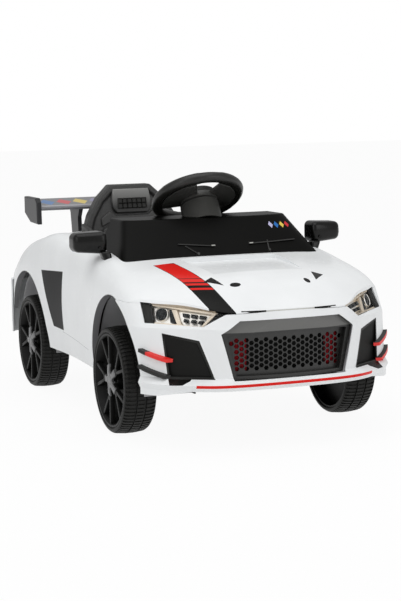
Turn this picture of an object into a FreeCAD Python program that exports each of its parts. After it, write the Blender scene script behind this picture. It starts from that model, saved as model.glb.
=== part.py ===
import FreeCAD, Part
import math
import os

V = FreeCAD.Vector
os.makedirs("parts", exist_ok=True)

# Main sizes of the car in millimetres. The car faces -Y and stands on Z = 0.
WHEELBASE = 655.0
FRONT_AXLE_Y = -280.0
REAR_AXLE_Y = FRONT_AXLE_Y + WHEELBASE
RIDE_Z = 5.0
AXLE_Z = 115.0
TYRE_R = AXLE_Z + RIDE_Z
TYRE_WIDTH = 74.0
WHEEL_FACE_X = 303.0
WHEEL_BACK_X = WHEEL_FACE_X - TYRE_WIDTH
RIM_R = 106.0
RIM_T = 4.0
TYRE_T = 4.0
AXLE_R = 6.0
RUN_GAP = 0.05
FIT_GAP = 0.4
WALL = 3.0
SILL_Z = 120.0
CREASE_Z = 172.0
SILL_TUCK = 9.0

# Body lines along the car, each as stations of distance and value.
DECK_Z = [(-610, 284), (-560, 311), (-520, 331), (-470, 349), (-400, 361), (-330, 368), (-255, 373),
          (-150, 380), (0, 388), (150, 394), (300, 397), (420, 393), (500, 386), (580, 372)]
CREST_X = [(-610, 262), (-498, 272), (-423, 284), (-350, 287), (-280, 284), (-166, 276), (0, 272),
           (150, 274), (250, 278), (355, 279), (457, 275), (545, 266), (580, 260)]
CREST_Z = [(-610, 200), (-560, 222), (-498, 257), (-460, 285), (-423, 311), (-380, 329), (-350, 338),
           (-300, 350), (-250, 359), (-166, 377), (0, 389), (150, 400), (250, 407), (355, 383),
           (457, 361), (545, 326), (580, 310)]
WIDE_X = [(-610, 276), (-480, 292), (-400, 303), (-280, 305), (-150, 302), (0, 295), (120, 296),
          (230, 303), (375, 306), (500, 303), (580, 291)]
WIDE_Z = [(-610, 185), (-498, 226), (-423, 266), (-350, 282), (-280, 290), (0, 250), (230, 270),
          (375, 285), (580, 250)]
STATIONS = [-610, -555, -500, -450, -400, -340, -270, -180, -80, 20, 130, 240, 340, 430, 510, 575]

# Nose outline at rising heights, half poles from the middle outwards.
NOSE_FOOT = [(0, -599), (85, -598), (150, -589), (190, -570), (232, -538),
             (284, -490), (304, -436), (304, -350)]
NOSE_LEDGE = [(0, -602), (88, -602), (155, -594), (196, -574), (238, -540),
              (288, -492), (307, -438), (306, -350)]
NOSE_STEP = [(0, -599), (85, -597), (140, -586), (170, -561), (215, -529),
             (280, -488), (305, -436), (304, -350)]
NOSE_BROW = [(0, -600), (90, -599), (146, -588), (168, -562), (215, -518),
             (284, -470), (306, -425), (305, -350)]
NOSE_CROWN = [(0, -586), (85, -584), (130, -573), (165, -534), (205, -486),
              (278, -416), (306, -388), (305, -350)]
NOSE_ROWS = [(96, NOSE_FOOT), (128, NOSE_FOOT), (140, NOSE_LEDGE), (153, NOSE_STEP), (255, NOSE_BROW),
             (320, NOSE_CROWN), (430, NOSE_CROWN)]
NOSE_BACK_Y = -350.0
SEAM_X = 268.0
SEAM_Z = 303.0
TAIL_Y = 588.0
TAIL_TOP_Z = 262.0

# Wheel arches: middle, half length and height above the axle.
FRONT_ARCH = (FRONT_AXLE_Y - 25.0, 157.0, 193.0)
REAR_ARCH = (REAR_AXLE_Y + 12.0, 170.0, 181.0)
FRONT_LINER = (FRONT_AXLE_Y - 6.0, 156.0, 192.0)
REAR_LINER = (REAR_AXLE_Y + 8.0, 162.0, 178.0)
RECESS_BACK_Y = -243.0
RECESS_FRONT_Y = -425.0
RECESS_TIP = 3.2
LINER_T = 3.0
LIP_X = 287.0
COLLAR_DEPTH = 16.0
LINER_OUT_X = 276.0
WELL_X = 166.0
WELL_T = 3.0
WELL_TOP_Z = 350.0
WELL_END_Y = 544.0

# Chassis floor and inner walls.
FLOOR_Z = 104.0
FLOOR_T = 3.5
FLOOR_TOP = FLOOR_Z + FLOOR_T
CABIN_X = 246.0
FIREWALL_Y = -195.0

# Grille, side intakes and headlights of the left side, mirrored for the right side.
GRILLE = [(-114, 273), (114, 273), (152, 246), (128, 148), (-128, 148), (-152, 246)]
GRILLE_NET = [(-104, 245), (104, 245), (138, 243), (119, 156), (-119, 156), (-138, 243)]
GRILLE_ARC_R = 457.0
GRILLE_FRONT_Y = -595.0
CELL_PITCH = 12.0
CELL_WEB = 2.6
INTAKE = [(163, 151), (188, 231), (252, 245), (246, 150)]
HEADLIGHT = [V(127, -570, 286), V(275, -426, 305), V(279, -461, 265), V(173, -541, 257)]
LENS_T = 3.0
CANARD_Z = (166.0, 200.0)
CANARD_SLOPE = 0.4
CANARD_OUT = 9.0
LAMP_DEPTH = 32.0

# Windscreen cowl outlines, half stations from the middle outwards, and dashboard.
COWL_FOOT = [(0, -270), (120, -268), (215, -265), (249, -263), (257, -251), (256, -215), (254, -120),
             (253, -22)]
COWL_TOP = [(0, -143), (90, -140), (158, -130), (190, -123), (204, -111), (205, -92), (204, -60), (204, -22)]
COWL_FOOT_Z = 340.0
COWL_TOP_Z = 455.0
DASH_Y = -30.0
DASH_T = 5.0

# Steering: wheel centre, column tilt, linkage.
STEER_C = V(0, FRONT_AXLE_Y + 214.0, 498.0)
STEER_TILT = 31.4
STEER_R = 112.0
STEER_TUBE_R = 13.5
HUB_R = 46.0
SHAFT_R = 6.0
CRANK_ARM = 45.0
CRANK_AT = 372.0
CRANK_T = 8.0
PIN_R = 4.0
KINGPIN_X = 210.0
KINGPIN_R = 6.0
KNUCKLE_R = 12.0
KNUCKLE_Z0 = 98.5
KNUCKLE_Z1 = 149.5
LUG_T = 8.0
ARM_Z = 128.0
ARM_T = 8.0
TIE_Z = ARM_Z + ARM_T + FIT_GAP
TIE_T = 6.0

# Drive: module, tooth counts and places of the gear train at the right rear wheel.
PRESSURE = math.radians(25.0)
OUT_TEETH = 50
OUT_MODULE = 1.5
SMALL_TEETH = 14
BIG_TEETH = 48
BIG_MODULE = 1.0
PINION_TEETH = 12
BACKLASH = 0.16
IDLER_ANGLE = math.radians(115.0)
PINION_ANGLE = math.radians(150.0)
GEAR_X0 = -216.0
GEAR_X1 = -180.0
CASE_WALL = 3.0
MOTOR_R = 18.0
MOTOR_LEN = 56.0
MOTOR_SHAFT_R = 1.6

# Seat, mirrors, wing and small controls.
SEAT_TOP_Z = 508.0
SEAT_TOP_HALF = 56.0
SEAT_HALF = 138.0
SEAT_WALL = 4.0
LEG_T = 5.0
MIRROR_X0 = 257.0
MIRROR_X1 = 335.0
MIRROR_Y0 = -162.0
MIRROR_Y1 = -112.0
MIRROR_Z0 = 383.0
MIRROR_Z1 = 436.0
WING_HALF = 245.0
PLATE_T = 13.0
WING_Y0 = 478.0
WING_Y1 = 602.0
STAY_X = 118.0
STAY_T = 11.0
BUTTON_R = 9.0
PEDAL_Y = -112.0
PEDAL_Z = 121.0
PEDAL_PIN_R = 4.0
SWITCH_Z = 400.0
SWITCH_X = -130.0
SWITCH_PIN_R = 2.0
BUTTON_GAP = 0.4
SCREW_R = 5.0


def box(x0, x1, y0, y1, z0, z1):
    return Part.makeBox(x1 - x0, y1 - y0, z1 - z0, V(x0, y0, z0))


def rod(radius, start, end):
    return Part.makeCylinder(radius, (end - start).Length, start, end - start)


def prism(points, push):
    wire = Part.makePolygon(points + [points[0]])
    return Part.Face(wire).extrude(push)


def flip(shape):
    return shape.mirror(V(0, 0, 0), V(1, 0, 0))


def joined(shapes):
    first = shapes[0]
    return first.multiFuse(shapes[1:]).removeSplitter()


def along(line, y):
    # Smooth value of a body line at one distance along the car.
    last = len(line) - 1
    y = min(max(y, line[0][0]), line[last][0])
    i = 0
    while i < last - 1 and line[i + 1][0] < y:
        i += 1
    span = line[i + 1][0] - line[i][0]
    t = (y - line[i][0]) / span
    slopes = []
    for k in (i, i + 1):
        a = line[max(k - 1, 0)]
        b = line[min(k + 1, last)]
        slopes.append((b[1] - a[1]) / (b[0] - a[0]) * span)
    rest = 1 - t
    near = rest * rest * (1 + 2 * t) * line[i][1] + t * rest * rest * slopes[0]
    far = t * t * (1 + 2 * rest) * line[i + 1][1] - t * t * rest * slopes[1]
    return near + far


def half_section(y):
    deck = along(DECK_Z, y)
    crest_x = along(CREST_X, y)
    crest_z = along(CREST_Z, y)
    wide_x = along(WIDE_X, y)
    wide_z = along(WIDE_Z, y)
    drop = deck - crest_z
    return [(wide_x - SILL_TUCK, SILL_Z),
            (wide_x - 3, CREASE_Z),
            (wide_x, 0.5 * (CREASE_Z + wide_z)),
            (wide_x + 1, wide_z),
            (0.72 * wide_x + 0.28 * crest_x, 0.4 * wide_z + 0.6 * crest_z),
            (crest_x, crest_z),
            (0.8 * crest_x, deck - 0.42 * drop),
            (0.5 * crest_x, deck - 0.1 * drop),
            (0.2 * crest_x, deck)]


def section_wire(y, inset, foot_drop):
    # One closed cross section, the whole outline moved inwards by the inset.
    half = half_section(y)
    chain = [(-x, z) for x, z in half] + [(x, z) for x, z in reversed(half)]
    moved = []
    for i, (x, z) in enumerate(chain):
        a = chain[max(i - 1, 0)]
        b = chain[min(i + 1, len(chain) - 1)]
        run = math.hypot(b[0] - a[0], b[1] - a[1])
        moved.append(V(x + inset * (b[1] - a[1]) / run, y, z - inset * (b[0] - a[0]) / run))
    moved[0].z = SILL_Z - foot_drop
    moved[-1].z = SILL_Z - foot_drop
    over = Part.BSplineCurve()
    over.buildFromPoles(moved[1:-1], False, 3)
    return Part.Wire([Part.makeLine(moved[0], moved[1]), over.toShape(),
                      Part.makeLine(moved[-2], moved[-1]), Part.makeLine(moved[-1], moved[0])])


def body_solid(inset, foot_drop, overrun):
    ys = list(STATIONS)
    ys[0] -= overrun
    ys[-1] += overrun
    return Part.makeLoft([section_wire(y, inset, foot_drop) for y in ys], True, False)


def arch_prism(arch, grow, x0, x1):
    middle, half, height = arch
    half += grow
    height += grow
    centre = V(x0, middle, AXLE_Z)
    top = V(x0, middle, AXLE_Z + height)
    end = V(x0, middle + half, AXLE_Z)
    oval = Part.Ellipse(end, top, centre) if half > height else Part.Ellipse(top, end, centre)
    dome = Part.Face(Part.Wire([oval.toShape()])).extrude(V(x1 - x0, 0, 0))
    below = box(x0, x1, middle - half, middle + half, 20, AXLE_Z)
    return dome.common(box(x0, x1, middle - half - 1, middle + half + 1, AXLE_Z, 600)).fuse(below)


def patch_solid(quad, depth_out, depth_in):
    # Block behind a four-cornered outer face, pushed out and in along the face direction.
    push = (quad[1] - quad[0]).cross(quad[3] - quad[0])
    push.normalize()
    if push.y > 0:
        push = -push
    front = [p + push * depth_out for p in quad]
    back = [p - push * depth_in for p in quad]

    def face(a, b, c, d):
        return Part.makeRuledSurface(Part.makeLine(a, b), Part.makeLine(d, c))

    faces = [face(*front), face(*back)]
    for i in range(4):
        k = (i + 1) % 4
        faces.append(face(front[i], front[k], back[k], back[i]))
    solid = Part.makeSolid(Part.makeShell(faces))
    if solid.Volume < 0:
        solid.reverse()
    return solid


def inset_quad(quad, share):
    centre = (quad[0] + quad[1] + quad[2] + quad[3]) * 0.25
    return [p + (centre - p) * share for p in quad]


def cockpit_prism(grow):
    half = [(0, -180), (214, -180), (230, -60), (230, 140), (206, 205), (WELL_X, 250), (160, 420),
            (146, 455), (0, 462)]
    points = [V(x, y, 250) for x, y in half] + [V(-x, y, 250) for x, y in reversed(half[1:-1])]
    outline = Part.Face(Part.makePolygon(points + [points[0]]))
    if grow > 0:
        outline = outline.makeOffset2D(grow)
    return outline.extrude(V(0, 0, 400))


def blade_prism():
    # Side blade outline seen from the side.
    points = [V(200, 252, 312), V(200, 100, 321), V(200, 94, 178), V(200, 168, 180)]
    return prism(points, V(200, 0, 0))


def recess_prism(grow):
    # Plan of the shallow hood recess in front of the cowl.
    half = [(0, RECESS_FRONT_Y - 20), (104, RECESS_FRONT_Y - 20), (120, RECESS_BACK_Y), (0, RECESS_BACK_Y)]
    points = [V(x, y, 250) for x, y in half] + [V(-x, y, 250) for x, y in reversed(half[1:-1])]
    outline = Part.Face(Part.makePolygon(points + [points[0]]))
    if grow > 0:
        outline = outline.makeOffset2D(grow)
    return outline.extrude(V(0, 0, 200))


def recess_floor(outer, drop):
    # Hood surface tipped down towards the cowl about the front edge of the recess.
    floor = outer.copy()
    floor.rotate(V(0, RECESS_FRONT_Y, along(DECK_Z, RECESS_FRONT_Y)), V(1, 0, 0), -RECESS_TIP)
    floor.translate(V(0, 0, -drop))
    return floor


def make_body_shell(outer, inner, nose):
    shell = outer.cut(inner)
    pad = recess_prism(WALL).common(outer).cut(recess_floor(outer, WALL))
    pad = pad.common(box(-200, 200, RECESS_FRONT_Y - 5, -200, 250, 450))
    shell = shell.fuse(pad).cut(recess_prism(0).cut(recess_floor(outer, 0)))
    for arch in (FRONT_ARCH, REAR_ARCH):
        lip = arch_prism(arch, WALL, LIP_X, 420).common(outer).cut(box(0, 420, -700, 700, 0, SILL_Z))
        shell = shell.fuse(lip).fuse(flip(lip))
    collar = cockpit_prism(WALL).common(outer)
    lower = outer.copy()
    lower.translate(V(0, 0, -COLLAR_DEPTH))
    shell = shell.fuse(collar.cut(lower)).cut(cockpit_prism(0))
    shell = shell.cut(box(-420, 420, -720, NOSE_BACK_Y, 0, 425).cut(nose))
    for arch in (FRONT_ARCH, REAR_ARCH):
        shell = shell.cut(arch_prism(arch, 0, 180, 420))
        shell = shell.cut(arch_prism(arch, 0, -420, -180))
    corner = box(SEAM_X, 420, -720, NOSE_BACK_Y, 0, SEAM_Z + FIT_GAP)
    tail = box(-420, 420, 545, 700, 0, TAIL_TOP_Z + FIT_GAP)
    lamp = patch_solid(HEADLIGHT, 30, 60)
    for cutter in (blade_prism(), corner, lamp):
        shell = shell.cut(cutter).cut(flip(cutter))
    return shell.cut(tail)


def nose_wire(z, row, inset, back):
    half = []
    for i, (x, y) in enumerate(row):
        a = row[max(i - 1, 0)]
        b = row[min(i + 1, len(row) - 1)]
        dx = b[0] - a[0]
        dy = b[1] - a[1] if i > 0 else 0.0
        run = math.hypot(dx, dy)
        half.append(V(x + inset * min(-dy / run, 0), y + inset * dx / run, z))
    half[-1].y = back
    points = [V(-p.x, p.y, z) for p in reversed(half[1:])] + half
    curve = Part.BSplineCurve()
    curve.buildFromPoles(points, False, 3)
    return Part.Wire([curve.toShape(), Part.makeLine(points[-1], points[0])])


def nose_solid(inset, overrun):
    rows = [[z, row] for z, row in NOSE_ROWS]
    rows[0][0] -= overrun
    rows[-1][0] += overrun
    back = NOSE_BACK_Y + overrun
    return Part.makeLoft([nose_wire(z, row, inset, back) for z, row in rows], True, True)


def make_front_bumper(nose):
    bumper = nose.cut(nose_solid(WALL, 20))
    under_hood = body_solid(WALL + FIT_GAP, 80, 0)
    corner = box(SEAM_X, 420, -720, NOSE_BACK_Y, 0, SEAM_Z)
    bumper = bumper.common(under_hood.fuse(corner).fuse(flip(corner)))
    foot = [(-420, 0), (420, 0), (420, 114), (268, 115), (210, 127), (-210, 127), (-268, 115), (-420, 114)]
    bumper = bumper.cut(prism([V(x, -720, z) for x, z in foot], V(0, 400, 0)))
    bumper = bumper.cut(prism([V(x, -720, z) for x, z in GRILLE], V(0, 220, 0)))
    intake = prism([V(x, -720, z) for x, z in INTAKE], V(0, 320, 0))
    top_in, top_out, low_out, low_in = HEADLIGHT
    lift = V(0, 0, 30)
    lamp = patch_solid([top_in + lift, top_out + lift, top_out, top_in], 30, 60)
    lamp = lamp.common(box(0, SEAM_X, -700, -350, 0, 400)).fuse(patch_solid(HEADLIGHT, 30, 60))
    arch = arch_prism(FRONT_ARCH, 0, 180, 420)
    for cutter in (intake, lamp, arch):
        bumper = bumper.cut(cutter).cut(flip(cutter))
    return bumper


def grille_layer(points, r_out, r_in):
    block = prism([V(x, -700, z) for x, z in points], V(0, 260, 0))
    axis = V(0, GRILLE_FRONT_Y + GRILLE_ARC_R, 100)
    ring = Part.makeCylinder(r_out, 220, axis).cut(Part.makeCylinder(r_in, 220, axis))
    return block.common(ring)


def inset_outline(points, gap):
    cx = sum(p[0] for p in points) / len(points)
    cz = sum(p[1] for p in points) / len(points)
    result = []
    for x, z in points:
        run = math.hypot(x - cx, z - cz)
        result.append((x - gap * (x - cx) / run, z - gap * (z - cz) / run))
    return result


def make_grille():
    r = GRILLE_ARC_R
    frame = grille_layer(GRILLE, r - 1, r - 20)
    frame = frame.cut(grille_layer(GRILLE_NET, r + 5, r - 30))
    visor = [V(-170, -620, 276), V(-170, -595, 276), V(-170, -585, 245), V(-170, -620, 245)]
    front = grille_layer(inset_outline(GRILLE, 4), r + 5, r - 12)
    frame = frame.cut(prism(visor, V(340, 0, 0)).common(front))
    net = grille_layer(inset_outline(GRILLE_NET, -1), r - 12, r - 16)
    holes = []
    step_x = CELL_PITCH * math.sqrt(3) / 2
    cell_r = (CELL_PITCH - CELL_WEB) / math.sqrt(3)
    for col in range(-13, 14):
        for row in range(-4, 5):
            x = col * step_x
            z = 199.5 + (row + 0.5 * (col % 2)) * CELL_PITCH
            if z > 234 or z < 164 or abs(x) > 128 + (z - 234) * 0.2:
                continue
            turns = [math.radians(60 * k) for k in range(6)]
            corners = [V(x + cell_r * math.cos(a), -640, z + cell_r * math.sin(a)) for a in turns]
            holes.append(prism(corners, V(0, 200, 0)))
    net = net.cut(Part.makeCompound(holes))
    return frame.fuse(net)


def make_intake(nose):
    # Black box in the side intake, flush with the bumper and open to the front.
    back = [V(150, -640, 0), V(330, -510, 0), V(330, -406, 0), V(150, -536, 0)]
    block = prism([V(x, -700, z) for x, z in INTAKE], V(0, 300, 0)).common(nose)
    block = block.common(prism(back, V(0, 0, 400)))
    hollow = prism([V(x, -700, z) for x, z in inset_outline(INTAKE, 6)], V(0, 300, 0))
    room = [V(150, -700, 0), V(330, -570, 0), V(330, -411, 0), V(150, -541, 0)]
    return block.cut(hollow.common(prism(room, V(0, 0, 400))))


def make_canards(nose):
    fins = []
    for z in CANARD_Z:
        plan = [(230, -500), (230, -512), (310, -512), (310, -463), (284, -463)]
        points = [V(x, y, z + CANARD_SLOPE * (y + 475)) for x, y in plan]
        fins.append(prism(points, V(0, 0, 7)).common(nose_solid(-CANARD_OUT, 0)).cut(nose))
    return fins


def make_cowl(outer):
    def ring(outline, z, inset):
        half = [V(max(x - inset, 0), y + (inset if y < -90 else 0), z) for x, y in outline]
        right = [V(-p.x, p.y, p.z) for p in reversed(half[1:])]
        points = right + half
        curve = Part.BSplineCurve()
        curve.buildFromPoles(points, False, 3)
        return Part.Wire([curve.toShape(), Part.makeLine(points[-1], points[0])])

    skin = Part.makeLoft([ring(COWL_FOOT, COWL_FOOT_Z, 0), ring(COWL_TOP, COWL_TOP_Z, 0)], True, True)
    upper = [e for e in skin.Edges if min(v.Z for v in e.Vertexes) > COWL_TOP_Z - 0.1]
    skin = skin.makeFillet(6.0, [e for e in upper if e.BoundBox.YLength > 20])
    room = Part.makeLoft([ring(COWL_FOOT, COWL_FOOT_Z, 4), ring(COWL_TOP, COWL_TOP_Z - 4, 4)], True, True)
    room = room.fuse(box(-300, 300, -26, 20, 300, 448))
    cowl = skin.cut(room).cut(outer)
    shroud = steer(Part.makeCylinder(HUB_R, 50, V(0, 0, -72)))
    shroud = shroud.cut(box(-80, 80, -300, 100, 300, COWL_TOP_Z - 3))
    cowl = cowl.fuse(shroud)
    cowl = cowl.cut(steer(Part.makeCylinder(HUB_R - 4, 10, V(0, 0, -32))))
    cowl = cowl.cut(steer(Part.makeCylinder(HUB_R - 4, 50, V(0, 0, -90))))
    cowl = cowl.cut(steer(Part.makeCylinder(SHAFT_R + RUN_GAP, 200, V(0, 0, -150))))
    return max(cowl.Solids, key=lambda solid: solid.Volume)


def steer(shape):
    # Turn a piece modelled about +Z onto the tilted steering column.
    moved = shape.copy()
    moved.rotate(V(0, 0, 0), V(1, 0, 0), -STEER_TILT)
    moved.translate(STEER_C)
    return moved


def make_steering_wheel():
    ring_r = STEER_R - STEER_TUBE_R
    rim = Part.makeTorus(ring_r, STEER_TUBE_R)
    boss = Part.makeCylinder(HUB_R, 18, V(0, 0, -20))
    spokes = [box(6 - ring_r, ring_r - 6, -30, 26, -12, -4), box(-14, 14, 20, ring_r, -10, -4)]
    wheel = joined([rim, boss] + spokes)
    wheel = wheel.cut(Part.makeCylinder(SHAFT_R, 30, V(0, 0, -25)))
    for x in (-22, 22):
        wheel = wheel.cut(Part.makeCylinder(BUTTON_R + 1.5, 30, V(x, -4, -12)))
    return steer(wheel)


def make_steering_pad():
    pad = Part.makeCylinder(HUB_R - 2, 12, V(0, 0, -2))
    pad = pad.makeFillet(4, [e for e in pad.Edges if e.BoundBox.ZMin > 9])
    for x in (-22, 22):
        pad = pad.cut(Part.makeCylinder(BUTTON_R + BUTTON_GAP, 30, V(x, -4, -12)))
    return steer(pad)


def make_wheel_button(x):
    cap = Part.makeCylinder(BUTTON_R, 17, V(x, -4, -4))
    return steer(cap.makeFillet(1.5, [e for e in cap.Edges if e.BoundBox.ZMin > 12]))


def make_steering_shaft():
    stem = Part.makeCylinder(SHAFT_R, CRANK_AT + CRANK_T - 5, V(0, 0, -CRANK_AT - CRANK_T))
    hub = Part.makeCylinder(11, CRANK_T, V(0, 0, -CRANK_AT - CRANK_T))
    arm = box(-7, 7, 0, CRANK_ARM, -CRANK_AT - CRANK_T, -CRANK_AT)
    end = Part.makeCylinder(8, CRANK_T, V(0, CRANK_ARM, -CRANK_AT - CRANK_T))
    pin = Part.makeCylinder(PIN_R, 34, V(0, CRANK_ARM, -CRANK_AT - CRANK_T - 32))
    return steer(joined([stem, hub, arm, end, pin]))


def make_tie_rod():
    y = FRONT_AXLE_Y + CRANK_ARM
    bar = box(-KINGPIN_X, KINGPIN_X, y - 6, y + 6, TIE_Z, TIE_Z + TIE_T)
    pieces = [bar, box(-22, 22, y - 20, y + 24, TIE_Z, TIE_Z + TIE_T)]
    for x in (-KINGPIN_X, KINGPIN_X):
        pieces.append(Part.makeCylinder(9, TIE_T, V(x, y, TIE_Z)))
    link = joined(pieces)
    for x in (-KINGPIN_X, KINGPIN_X):
        link = link.cut(Part.makeCylinder(PIN_R + 0.3, 40, V(x, y, TIE_Z - 10)))
    slot = box(-PIN_R - 0.3, PIN_R + 0.3, y - 12, y + 18, TIE_Z - 5, TIE_Z + 20)
    return link.cut(slot)


def make_knuckle():
    # Left front knuckle: upright sleeve, stub axle and steering arm.
    x, y = KINGPIN_X, FRONT_AXLE_Y
    sleeve = Part.makeCylinder(KNUCKLE_R, KNUCKLE_Z1 - KNUCKLE_Z0, V(x, y, KNUCKLE_Z0))
    stub = rod(AXLE_R, V(x, y, AXLE_Z), V(WHEEL_FACE_X - 14, y, AXLE_Z))
    collar = rod(10, V(x, y, AXLE_Z), V(WHEEL_BACK_X - FIT_GAP, y, AXLE_Z))
    arm = box(x - 7, x + 7, y, y + CRANK_ARM, ARM_Z, ARM_Z + ARM_T)
    eye = Part.makeCylinder(8, ARM_T, V(x, y + CRANK_ARM, ARM_Z))
    pin = Part.makeCylinder(PIN_R, ARM_T + TIE_T + 6, V(x, y + CRANK_ARM, ARM_Z))
    knuckle = joined([sleeve, stub, collar, arm, eye, pin])
    return knuckle.cut(Part.makeCylinder(KINGPIN_R + RUN_GAP, 120, V(x, y, 60)))


def make_tyre():
    # Hard moulded tyre of the left front wheel with a crowned tread.
    r, x0, x1 = TYRE_R, WHEEL_BACK_X, WHEEL_FACE_X
    mid = 0.5 * (x0 + x1)
    points = [(x0 + 3, RIM_R), (x0, RIM_R + 4), (x0 + 1, r - 7), (x0 + 7, r - 2.5), (mid - 17, r),
              (mid + 17, r), (x1 - 7, r - 2.5), (x1 - 1, r - 7), (x1, RIM_R + 4), (x1 - 3, RIM_R)]
    profile = [V(x, 0, z) for x, z in points]
    tyre = Part.Face(Part.makePolygon(profile + [profile[0]])).revolve(V(0, 0, 0), V(1, 0, 0), 360)
    tyre = tyre.cut(ring(r - TYRE_T - 3, RIM_R - 1, x0 + TYRE_T + 1, x1 - TYRE_T - 1))
    tyre.translate(V(0, FRONT_AXLE_Y, AXLE_Z))
    return tyre


def ring(r_out, r_in, x0, x1):
    hollow = Part.makeCylinder(r_in, x1 - x0 + 2, V(x0 - 1, 0, 0), V(1, 0, 0))
    return Part.makeCylinder(r_out, x1 - x0, V(x0, 0, 0), V(1, 0, 0)).cut(hollow)


def make_rim():
    # Left front rim: barrel, closed web, hub and five forked spokes.
    x1 = WHEEL_FACE_X
    barrel = ring(RIM_R, RIM_R - RIM_T, WHEEL_BACK_X + 3, x1 - 3)
    web = ring(RIM_R - 1, AXLE_R + RUN_GAP, x1 - 41, x1 - 41 + RIM_T)
    hub = ring(20, AXLE_R + RUN_GAP, WHEEL_BACK_X, x1 - 14)
    cap = Part.makeCylinder(24, 7, V(x1 - 9, 0, 0), V(1, 0, 0))
    post = ring(24, 18, x1 - 40, x1 - 6)
    pieces = [barrel, web, hub, cap, post]
    for k in range(5):
        bar = [V(x1 - 13, -9, 19), V(x1 - 13, 9, 19), V(x1 - 13, 6, 54), V(x1 - 13, -6, 54)]
        arm = prism(bar, V(10, 0, 0))
        arm.rotate(V(0, 0, 0), V(1, 0, 0), 72 * k)
        pieces.append(arm)
        for s in (-1, 1):
            leg = prism([V(x1 - 14, -1 * s, 44), V(x1 - 14, 6 * s, 44), V(x1 - 14, 27 * s, RIM_R - 7),
                         V(x1 - 14, 19 * s, RIM_R - 4)], V(9, 0, 0))
            leg.rotate(V(0, 0, 0), V(1, 0, 0), 72 * k)
            pieces.append(leg)
    rim = joined(pieces)
    rim.translate(V(0, FRONT_AXLE_Y, AXLE_Z))
    return rim


def place_rear(shape):
    moved = shape.copy()
    moved.translate(V(0, WHEELBASE, 0))
    return moved


def gear_face(teeth, module, phase, centre, x):
    # Spur gear outline with involute flanks in the plane across the axle.
    pitch_r = 0.5 * module * teeth
    base_r = pitch_r * math.cos(PRESSURE)
    tip_r = pitch_r + 0.95 * module
    root_r = pitch_r - 1.25 * module
    inv = math.tan(PRESSURE) - PRESSURE
    half = (0.5 * math.pi * module - BACKLASH) / (2 * pitch_r)
    flank = [(root_r, half + inv)]
    for k in range(4):
        r = max(base_r, root_r) + (tip_r - max(base_r, root_r)) * k / 3.0
        a = math.acos(min(1.0, base_r / r))
        flank.append((r, half + inv - (math.tan(a) - a)))
    points = []
    for n in range(teeth):
        middle = phase + 2 * math.pi * n / teeth
        for r, angle in flank:
            points.append((r, middle - angle))
        for r, angle in reversed(flank):
            points.append((r, middle + angle))
    ring_v = [V(x, centre[0] + r * math.cos(a), centre[1] + r * math.sin(a)) for r, a in points]
    return Part.Face(Part.makePolygon(ring_v + [ring_v[0]]))


OUT_C = (REAR_AXLE_Y, AXLE_Z)
IDLER_DIST = 0.5 * OUT_MODULE * (OUT_TEETH + SMALL_TEETH)
IDLER_C = (OUT_C[0] + IDLER_DIST * math.cos(IDLER_ANGLE),
           OUT_C[1] + IDLER_DIST * math.sin(IDLER_ANGLE))
PINION_DIST = 0.5 * BIG_MODULE * (BIG_TEETH + PINION_TEETH)
PINION_C = (IDLER_C[0] + PINION_DIST * math.cos(PINION_ANGLE),
            IDLER_C[1] + PINION_DIST * math.sin(PINION_ANGLE))


def x_rod(radius, centre, x0, x1):
    return Part.makeCylinder(radius, x1 - x0, V(x0, centre[0], centre[1]), V(1, 0, 0))


def make_output_gear():
    gear = gear_face(OUT_TEETH, OUT_MODULE, IDLER_ANGLE, OUT_C, GEAR_X0 + 2).extrude(V(14, 0, 0))
    dog = x_rod(15, OUT_C, -WHEEL_BACK_X, GEAR_X0 + 3)
    return gear.fuse(dog).cut(x_rod(AXLE_R + RUN_GAP, OUT_C, -260, -150))


def make_idler_gear():
    small_phase = IDLER_ANGLE + math.pi - math.pi / SMALL_TEETH
    small = gear_face(SMALL_TEETH, OUT_MODULE, small_phase, IDLER_C, GEAR_X0 + 2).extrude(V(18, 0, 0))
    big = gear_face(BIG_TEETH, BIG_MODULE, PINION_ANGLE, IDLER_C, GEAR_X0 + 19).extrude(V(10, 0, 0))
    return small.fuse(big).cut(x_rod(3 + RUN_GAP, IDLER_C, -260, -150))


def make_pinion():
    phase = PINION_ANGLE + math.pi - math.pi / PINION_TEETH
    gear = gear_face(PINION_TEETH, BIG_MODULE, phase, PINION_C, GEAR_X0 + 17).extrude(V(14, 0, 0))
    return gear.fuse(x_rod(MOTOR_SHAFT_R, PINION_C, GEAR_X0 + 18, GEAR_X1 + CASE_WALL + 8))


def gearbox_block(grow, x0, x1):
    circles = [(OUT_C, 41 + grow), (IDLER_C, 28 + grow), (PINION_C, 12 + grow)]
    pieces = [x_rod(r, c, x0, x1) for c, r in circles]
    for (ca, ra), (cb, rb) in zip(circles, circles[1:]):
        run = math.hypot(cb[0] - ca[0], cb[1] - ca[1])
        ny, nz = -(cb[1] - ca[1]) / run, (cb[0] - ca[0]) / run
        points = [V(x0, ca[0] + ny * ra, ca[1] + nz * ra), V(x0, cb[0] + ny * rb, cb[1] + nz * rb),
                  V(x0, cb[0] - ny * rb, cb[1] - nz * rb), V(x0, ca[0] - ny * ra, ca[1] - nz * ra)]
        pieces.append(prism(points, V(x1 - x0, 0, 0)))
    return joined(pieces)


def make_gearbox_case():
    x0, x1 = GEAR_X0 + 12, GEAR_X1 + CASE_WALL
    case = gearbox_block(CASE_WALL, x0, x1).cut(gearbox_block(0, x0 - 1, GEAR_X1))
    case = case.fuse(x_rod(3, IDLER_C, GEAR_X0, x1))
    case = case.fuse(x_rod(7, IDLER_C, x1 - 1, -WELL_X - WELL_T))
    return case.cut(x_rod(AXLE_R, OUT_C, -260, -150)).cut(x_rod(5, PINION_C, GEAR_X1 - 1, x1 + 1))


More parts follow.
